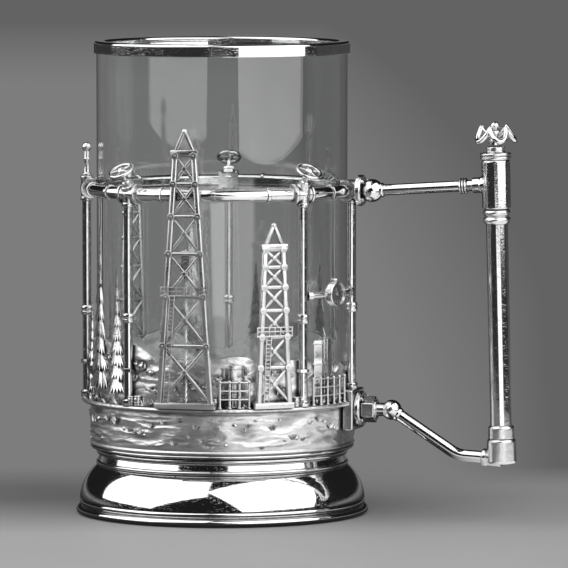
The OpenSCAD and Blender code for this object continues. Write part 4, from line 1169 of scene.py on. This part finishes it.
wheel = {"foot": 3.6, "level": 1.35, "rise": 3.5, "tip": 5.25, "valley": 3.6, "rim": 0.68, "petals": 5,
         "turn": -60, "bulge": 0.9, "hub": 1.7, "hubTop": 4.2, "bore": 1.03, "spoke": 0.62, "nut": 1.7,
         "nutDome": 1.3}


def makeHandWheel():
    hubAt = barrelTop + wheel["foot"]
    spindle = [(barrelTop - 3.9, 1), (hubAt + wheel["hubTop"], 1)]
    makePiece("wheelSpindle", "fittingPolish", "spindle", (shaft, spindle, onPost(), 40, 0.06),
              body="hand_wheel")
    place = onPost(hubAt) @ spun(wheel["turn"])
    hub, petals, valley, bore = wheel["hub"], wheel["petals"], wheel["valley"], wheel["bore"]
    outline = [(bore, 0), (hub * 0.8, 0), (hub, 0.3), (hub, 1.6), (hub * 0.86, 2.0)]
    outline += [(hub, 3.4), (hub * 0.85, wheel["hubTop"]), (bore, wheel["hubTop"])]
    # The rim dips and bulges out as a petal between each two spokes
    rim, level, rise = [], wheel["level"], wheel["rise"]
    for at in [math.tau * k / 180 for k in range(180)]:
        bulge = abs(math.cos(at * petals / 2)) ** wheel["bulge"]
        out = valley + (wheel["tip"] - valley) * bulge
        rim.append((out * math.cos(at), out * math.sin(at), level + rise * (1 - bulge)))
    spoke = [(hub * 0.4, 0, 2.6), (hub, 0, 2.9), ((hub + valley) / 2, 0, 3.7),
             (valley + 0.1, 0, level + rise)]
    makePiece("handWheel", "pipePolish", "hand_wheel", (turned, outline, place, 48, 0.15, True),
              (followed, rim, wheel["rim"], 20, place, True),
              *[(followed, spoke, wheel["spoke"], 16, place @ spun((k + 0.5) * 360 / petals))
                for k in range(petals)], body="hand_wheel")
    dome = [(0, 0.9), (wheel["nutDome"], 0.9)] + arcPoints(0, 1.0, wheel["nutDome"], 0, 90, 14)
    place = onPost(hubAt + wheel["hubTop"])
    makePiece("wheelNut", "fittingPolish", "cap_nut", (hexagon, wheel["nut"], 1.0, place, 0.14),
              (turned, dome, place, 40, 0), body="hand_wheel")


makeHandWheel()
print("handle made")

# Glass and its lip band

tumbler = {"radius": 33.6, "foot": 19.8, "height": 106.2, "wall": 1.8, "bottom": 6, "corner": 3, "lip": 0.4,
           "lipRound": 0.38, "steps": 192}
lipBand = {"thick": 0.7, "high": 2.6, "highInside": 0.7, "gap": 0.03}


def makeTumbler():
    r, foot, top = tumbler["radius"], tumbler["foot"], tumbler["foot"] + tumbler["height"]
    c, lip, lipRound, steps = tumbler["corner"], tumbler["lip"], tumbler["lipRound"], tumbler["steps"]
    inner, floor = r - tumbler["wall"], foot + tumbler["bottom"]
    outline = [(0, foot + 0.35), (r - c - 8, foot + 0.3), (r - c - 3, foot)]
    outline += arcPoints(r - c, foot + c, c, -90, 0, 12) + [(r, foot + 60), (r, top - 0.35)]
    outline += arcPoints(r - lip, top - lip, lipRound, 0, 90, 5)
    outline += arcPoints(inner + lip, top - lip, lipRound, 90, 180, 5) + [(inner, foot + 60)]
    outline += arcPoints(inner - c, floor + c, c, 0, -90, 12)
    outline += [(inner - c - 9, floor + 0.15), (0, floor + 0.25)]
    glass = makePiece("glassTumbler", "clearGlass", "glass", (turned, outline, Matrix(), steps, 0),
                      body="tumbler", slot="clear_glass")
    glass.visible_shadow = False  # light passes through it
    t, high, gap = lipBand["thick"], lipBand["high"], lipBand["gap"]
    low, lowIn, outside, inside = top - high, top - high * lipBand["highInside"], r + gap, inner - gap
    outline = [(outside, low), (r + t - 0.12, low), (r + t - 0.02, low + 0.14)]
    outline += arcPoints(r + 0.02, top, t - 0.02, 0, 90, 10)
    outline += arcPoints(inner - 0.02, top, t - 0.02, 90, 180, 10)
    outline += [(inner - t, lowIn + 0.2), (inner - t + 0.2, lowIn), (inside, lowIn), (inside, top),
                (outside, top)]
    makePiece("lipBand", "lipPolish", "lip_band", (turned, outline, Matrix(), steps, 0.04, True),
              body="tumbler", slot="lip_metal")


makeTumbler()
print("glass made")

# Floor, lights, world and camera

# A box's middle and the ways of its sides are (to the camera, right, up), in metres like the view, whose lens
# and sensor are in mm
studio = {"turn": 18, "floorNear": (0.335, 0.335, 0.337), "shadeBehindLeft": 0.155, "shadeBehindRight": 0.26,
          "backdrop": 0.206, "backdropShade": 0.125, "boxStrength": 1.7, "floorRadius": 9, "grain": 40,
          "grainShare": 0.06, "worldDark": 0.012, "worldFill": 0.28}
boxes = {"rightBox": {"middle": (0.405, 0.366, 0.391), "rise": (-0.402, -0.501, 0.767),
                      "across": (0.772, -0.636, -0.010), "width": 1.0, "height": 0.89},
         "leftBox": {"middle": (0.21, -0.47, 0.353), "rise": (0.182, 0.825, 0.536),
                     "across": (-0.979, 0.202, 0.022), "width": 0.906, "height": 0.93}}
view = {"away": 1.55, "height": 0.182, "aimRight": 0.0166, "aimHeight": 0.0613, "lens": 367, "sensor": 36}
# Painted reflections: glowing patches of the floor that only the metal's reflections see, each as a middle
# (right, in front), two turns, two distances and a strength: grey on the left, a white patch on the right and
# a white strip that runs away in front
glowPatches = [((0, 0), -100, 0, 0.08, 0.3, 0.2), ((0, 0), 0, 95, 0.08, 0.4, 1.0),
         ((0.0723, 0.0235), -14, 27, 0.25, 1.5, 1.4)]
glowPatchEdge = {"turn": 0.04, "reach": 0.03, "least": 0.03}
# Where the sheet, the backdrop and the world fade from one look to the next
fades = {"shadeBehindAcross": (-0.05, 0.09), "shadeBehindFade": (-0.05, 0.03), "wallBack": (0.06, 0.11),
         "wallAside": (0.028, 0.048), "wallReach": (4.2, 5.6), "wallCorner": (0.6, 1.0), "asideShare": 14.0,
         "reachShare": 0.14, "glowPatchBack": (0.3, 0.05), "worldFacing": (0.0, -0.3), "worldRise": (0.09, 0.02)}
viewTurn = math.radians(studio["turn"])
toCamera = Vector((math.sin(viewTurn), -math.cos(viewTurn), 0))
toRight = Vector((math.cos(viewTurn), math.sin(viewTurn), 0))


def makeCamera():
    data = bpy.data.cameras.new("camera")
    data.lens, data.sensor_width = view["lens"], view["sensor"]
    camera = bpy.data.objects.new("camera", data)
    scene.collection.objects.link(camera)
    camera.location = toCamera * view["away"] + Vector((0, 0, view["height"]))
    aim = toRight * view["aimRight"] + Vector((0, 0, view["aimHeight"]))
    camera.rotation_euler = (aim - camera.location).to_track_quat("-Z", "Y").to_euler()
    data.clip_start, data.clip_end = 0.05, 60
    scene.camera = camera


def makeBox(name, middle, rise, across, width, height):
    def seenFrom(parts):
        return toCamera * parts[0] + toRight * parts[1] + Vector((0, 0, parts[2]))

    data = bpy.data.lights.new(name, "AREA")
    data.shape, data.size, data.size_y = "RECTANGLE", width, height
    data.energy = studio["boxStrength"] * math.pi * width * height
    lamp = bpy.data.objects.new(name, data)
    scene.collection.objects.link(lamp)
    centre, up, side = seenFrom(middle), seenFrom(rise).normalized(), seenFrom(across)
    side = (side - up * side.dot(up)).normalized()
    if side.cross(up).dot(centre) < 0:
        side = -side
    lamp.matrix_world = Matrix.Translation(centre) @ Matrix((side, up, side.cross(up))).transposed().to_4x4()
    lamp.visible_camera = False


# Far from the object the sheet is the backdrop's own colour, for what sees it directly or through the glass.
# Painted shade darkens it to the right, upwards and most in that corner, by the way from the camera's foot.
def backdropGlow(tree, across, back):
    reach = mathNode(tree, "ADD", back, view["away"])
    aside = mathNode(tree, "DIVIDE", mathNode(tree, "SUBTRACT", across, view["aimRight"]), reach)
    corner = mathNode(tree, "ADD", mathNode(tree, "MULTIPLY", aside, fades["asideShare"]),
                      mathNode(tree, "MULTIPLY", reach, fades["reachShare"]))
    darker = ranged(tree, corner, *fades["wallCorner"])
    for value, name in ((aside, "wallAside"), (reach, "wallReach")):
        darker = mathNode(tree, "MAXIMUM", darker, ranged(tree, value, *fades[name]))
    wall = addNode(tree, "Mix", {0: darker, 2: studio["backdrop"], 3: studio["backdropShade"]})
    return addNode(tree, "Emission", {"Color": wall.outputs[0]}).outputs[0]


# 1 inside a sector of the floor, with soft edges
def sector(tree, across, front, middle, low, high, near, far):
    across = mathNode(tree, "SUBTRACT", across, middle[0])
    front = mathNode(tree, "SUBTRACT", front, middle[1])
    turn, reach = mathNode(tree, "ARCTAN2", across, front), distance(tree, across, front)
    low, high, soft, edge = math.radians(low), math.radians(high), glowPatchEdge["turn"], glowPatchEdge["reach"]
    inside = mathNode(tree, "MULTIPLY", ranged(tree, turn, low - soft, low + soft),
                      ranged(tree, turn, high + soft, high - soft))
    within = mathNode(tree, "MULTIPLY", ranged(tree, reach, near - edge, near),
                      ranged(tree, reach, far + edge, far))
    return mathNode(tree, "MULTIPLY", inside, within)


def makeFloor():
    bm = bmesh.new()
    bmesh.ops.create_circle(bm, cap_ends=True, cap_tris=True, segments=96, radius=studio["floorRadius"])
    mesh = bpy.data.meshes.new("studioFloor")
    bm.to_mesh(mesh)
    bm.free()
    floor = bpy.data.objects.new("studioFloor", mesh)
    floor.rotation_euler = (0, 0, viewTurn)
    floor.location = (0, 0, -0.00005)
    scene.collection.objects.link(floor)
    material, tree, shader, place = newMaterial("floorSheet")
    split = addNode(tree, "SeparateXYZ", {0: place}).outputs
    across, back = split[0], split[1]
    # Painted shade: the sheet is darker behind the object, more on the left than the right, and light in
    # front
    behind = ranged(tree, across, *fades["shadeBehindAcross"], studio["shadeBehindLeft"], studio["shadeBehindRight"])
    tint = addNode(tree, "Mix", {0: ranged(tree, back, *fades["shadeBehindFade"]), 6: (*studio["floorNear"], 1),
                                 7: behind}, data_type="RGBA")
    shade = addNode(tree, "Mix", {0: studio["grainShare"], 6: tint.outputs[2],
                                  7: noiseNode(tree, place, studio["grain"], 3)},
                    data_type="RGBA", blend_type="MULTIPLY")
    feed(tree, shader, {"Base Color": shade.outputs[2], "Roughness": 0.6, "Specular IOR Level": 0.15})
    rays = addNode(tree, "LightPath", {}).outputs
    seen = mathNode(tree, "ADD", rays["Is Camera Ray"], rays["Is Transmission Ray"], True)
    far = mathNode(tree, "MULTIPLY", seen, ranged(tree, back, *fades["wallBack"]))
    sheet = addNode(tree, "MixShader", {0: far, 1: shader.outputs[0], 2: backdropGlow(tree, across, back)})
    front, glow = mathNode(tree, "MULTIPLY", back, -1.0), glowPatchEdge["least"]
    for *sides, strength in glowPatches:
        lit = mathNode(tree, "MULTIPLY", sector(tree, across, front, *sides), strength)
        glow = mathNode(tree, "MAXIMUM", lit, glow)
    # Painted reflections: the patches glow, and only the metal's reflections see it
    glowInMetal = addNode(tree, "Emission", {"Strength": glow})
    inMetal = mathNode(tree, "MULTIPLY", rays["Is Glossy Ray"], ranged(tree, back, *fades["glowPatchBack"]))
    last = addNode(tree, "MixShader", {0: inMetal, 1: sheet.outputs[0], 2: glowInMetal.outputs[0]})
    feed(tree, tree.nodes["Material Output"], {"Surface": last.outputs[0]})
    mesh.materials.append(material)


# In metal the world is dark behind the camera and grey behind the object
def makeWorld():
    world = bpy.data.worlds.new("studioWorld")
    world.use_nodes = True
    scene.world = world
    tree = world.node_tree
    way = addNode(tree, "TexCoord", {}).outputs["Generated"]
    facing = addNode(tree, "VectorMath", {0: way, 1: toCamera}, operation="DOT_PRODUCT").outputs["Value"]
    rise = addNode(tree, "SeparateXYZ", {0: way}).outputs[2]
    low = mathNode(tree, "MULTIPLY", ranged(tree, facing, *fades["worldFacing"]),
                   ranged(tree, rise, *fades["worldRise"]))
    glossy = ranged(tree, low, 0, 1, studio["worldDark"], studio["backdrop"])
    rays = addNode(tree, "LightPath", {}).outputs
    seen = mathNode(tree, "ADD", rays["Is Camera Ray"], rays["Is Transmission Ray"], True)
    fill = addNode(tree, "Mix", {0: rays["Is Glossy Ray"], 2: studio["worldFill"], 3: glossy}).outputs[0]
    shown = addNode(tree, "Mix", {0: seen, 2: fill, 3: studio["backdrop"]}).outputs[0]
    feed(tree, tree.nodes["Background"], {"Color": shown})


makeCamera()
for name, box in boxes.items():
    makeBox(name, **box)
makeFloor()
makeWorld()
scene.view_settings.view_transform = "Standard"
print("studio set")
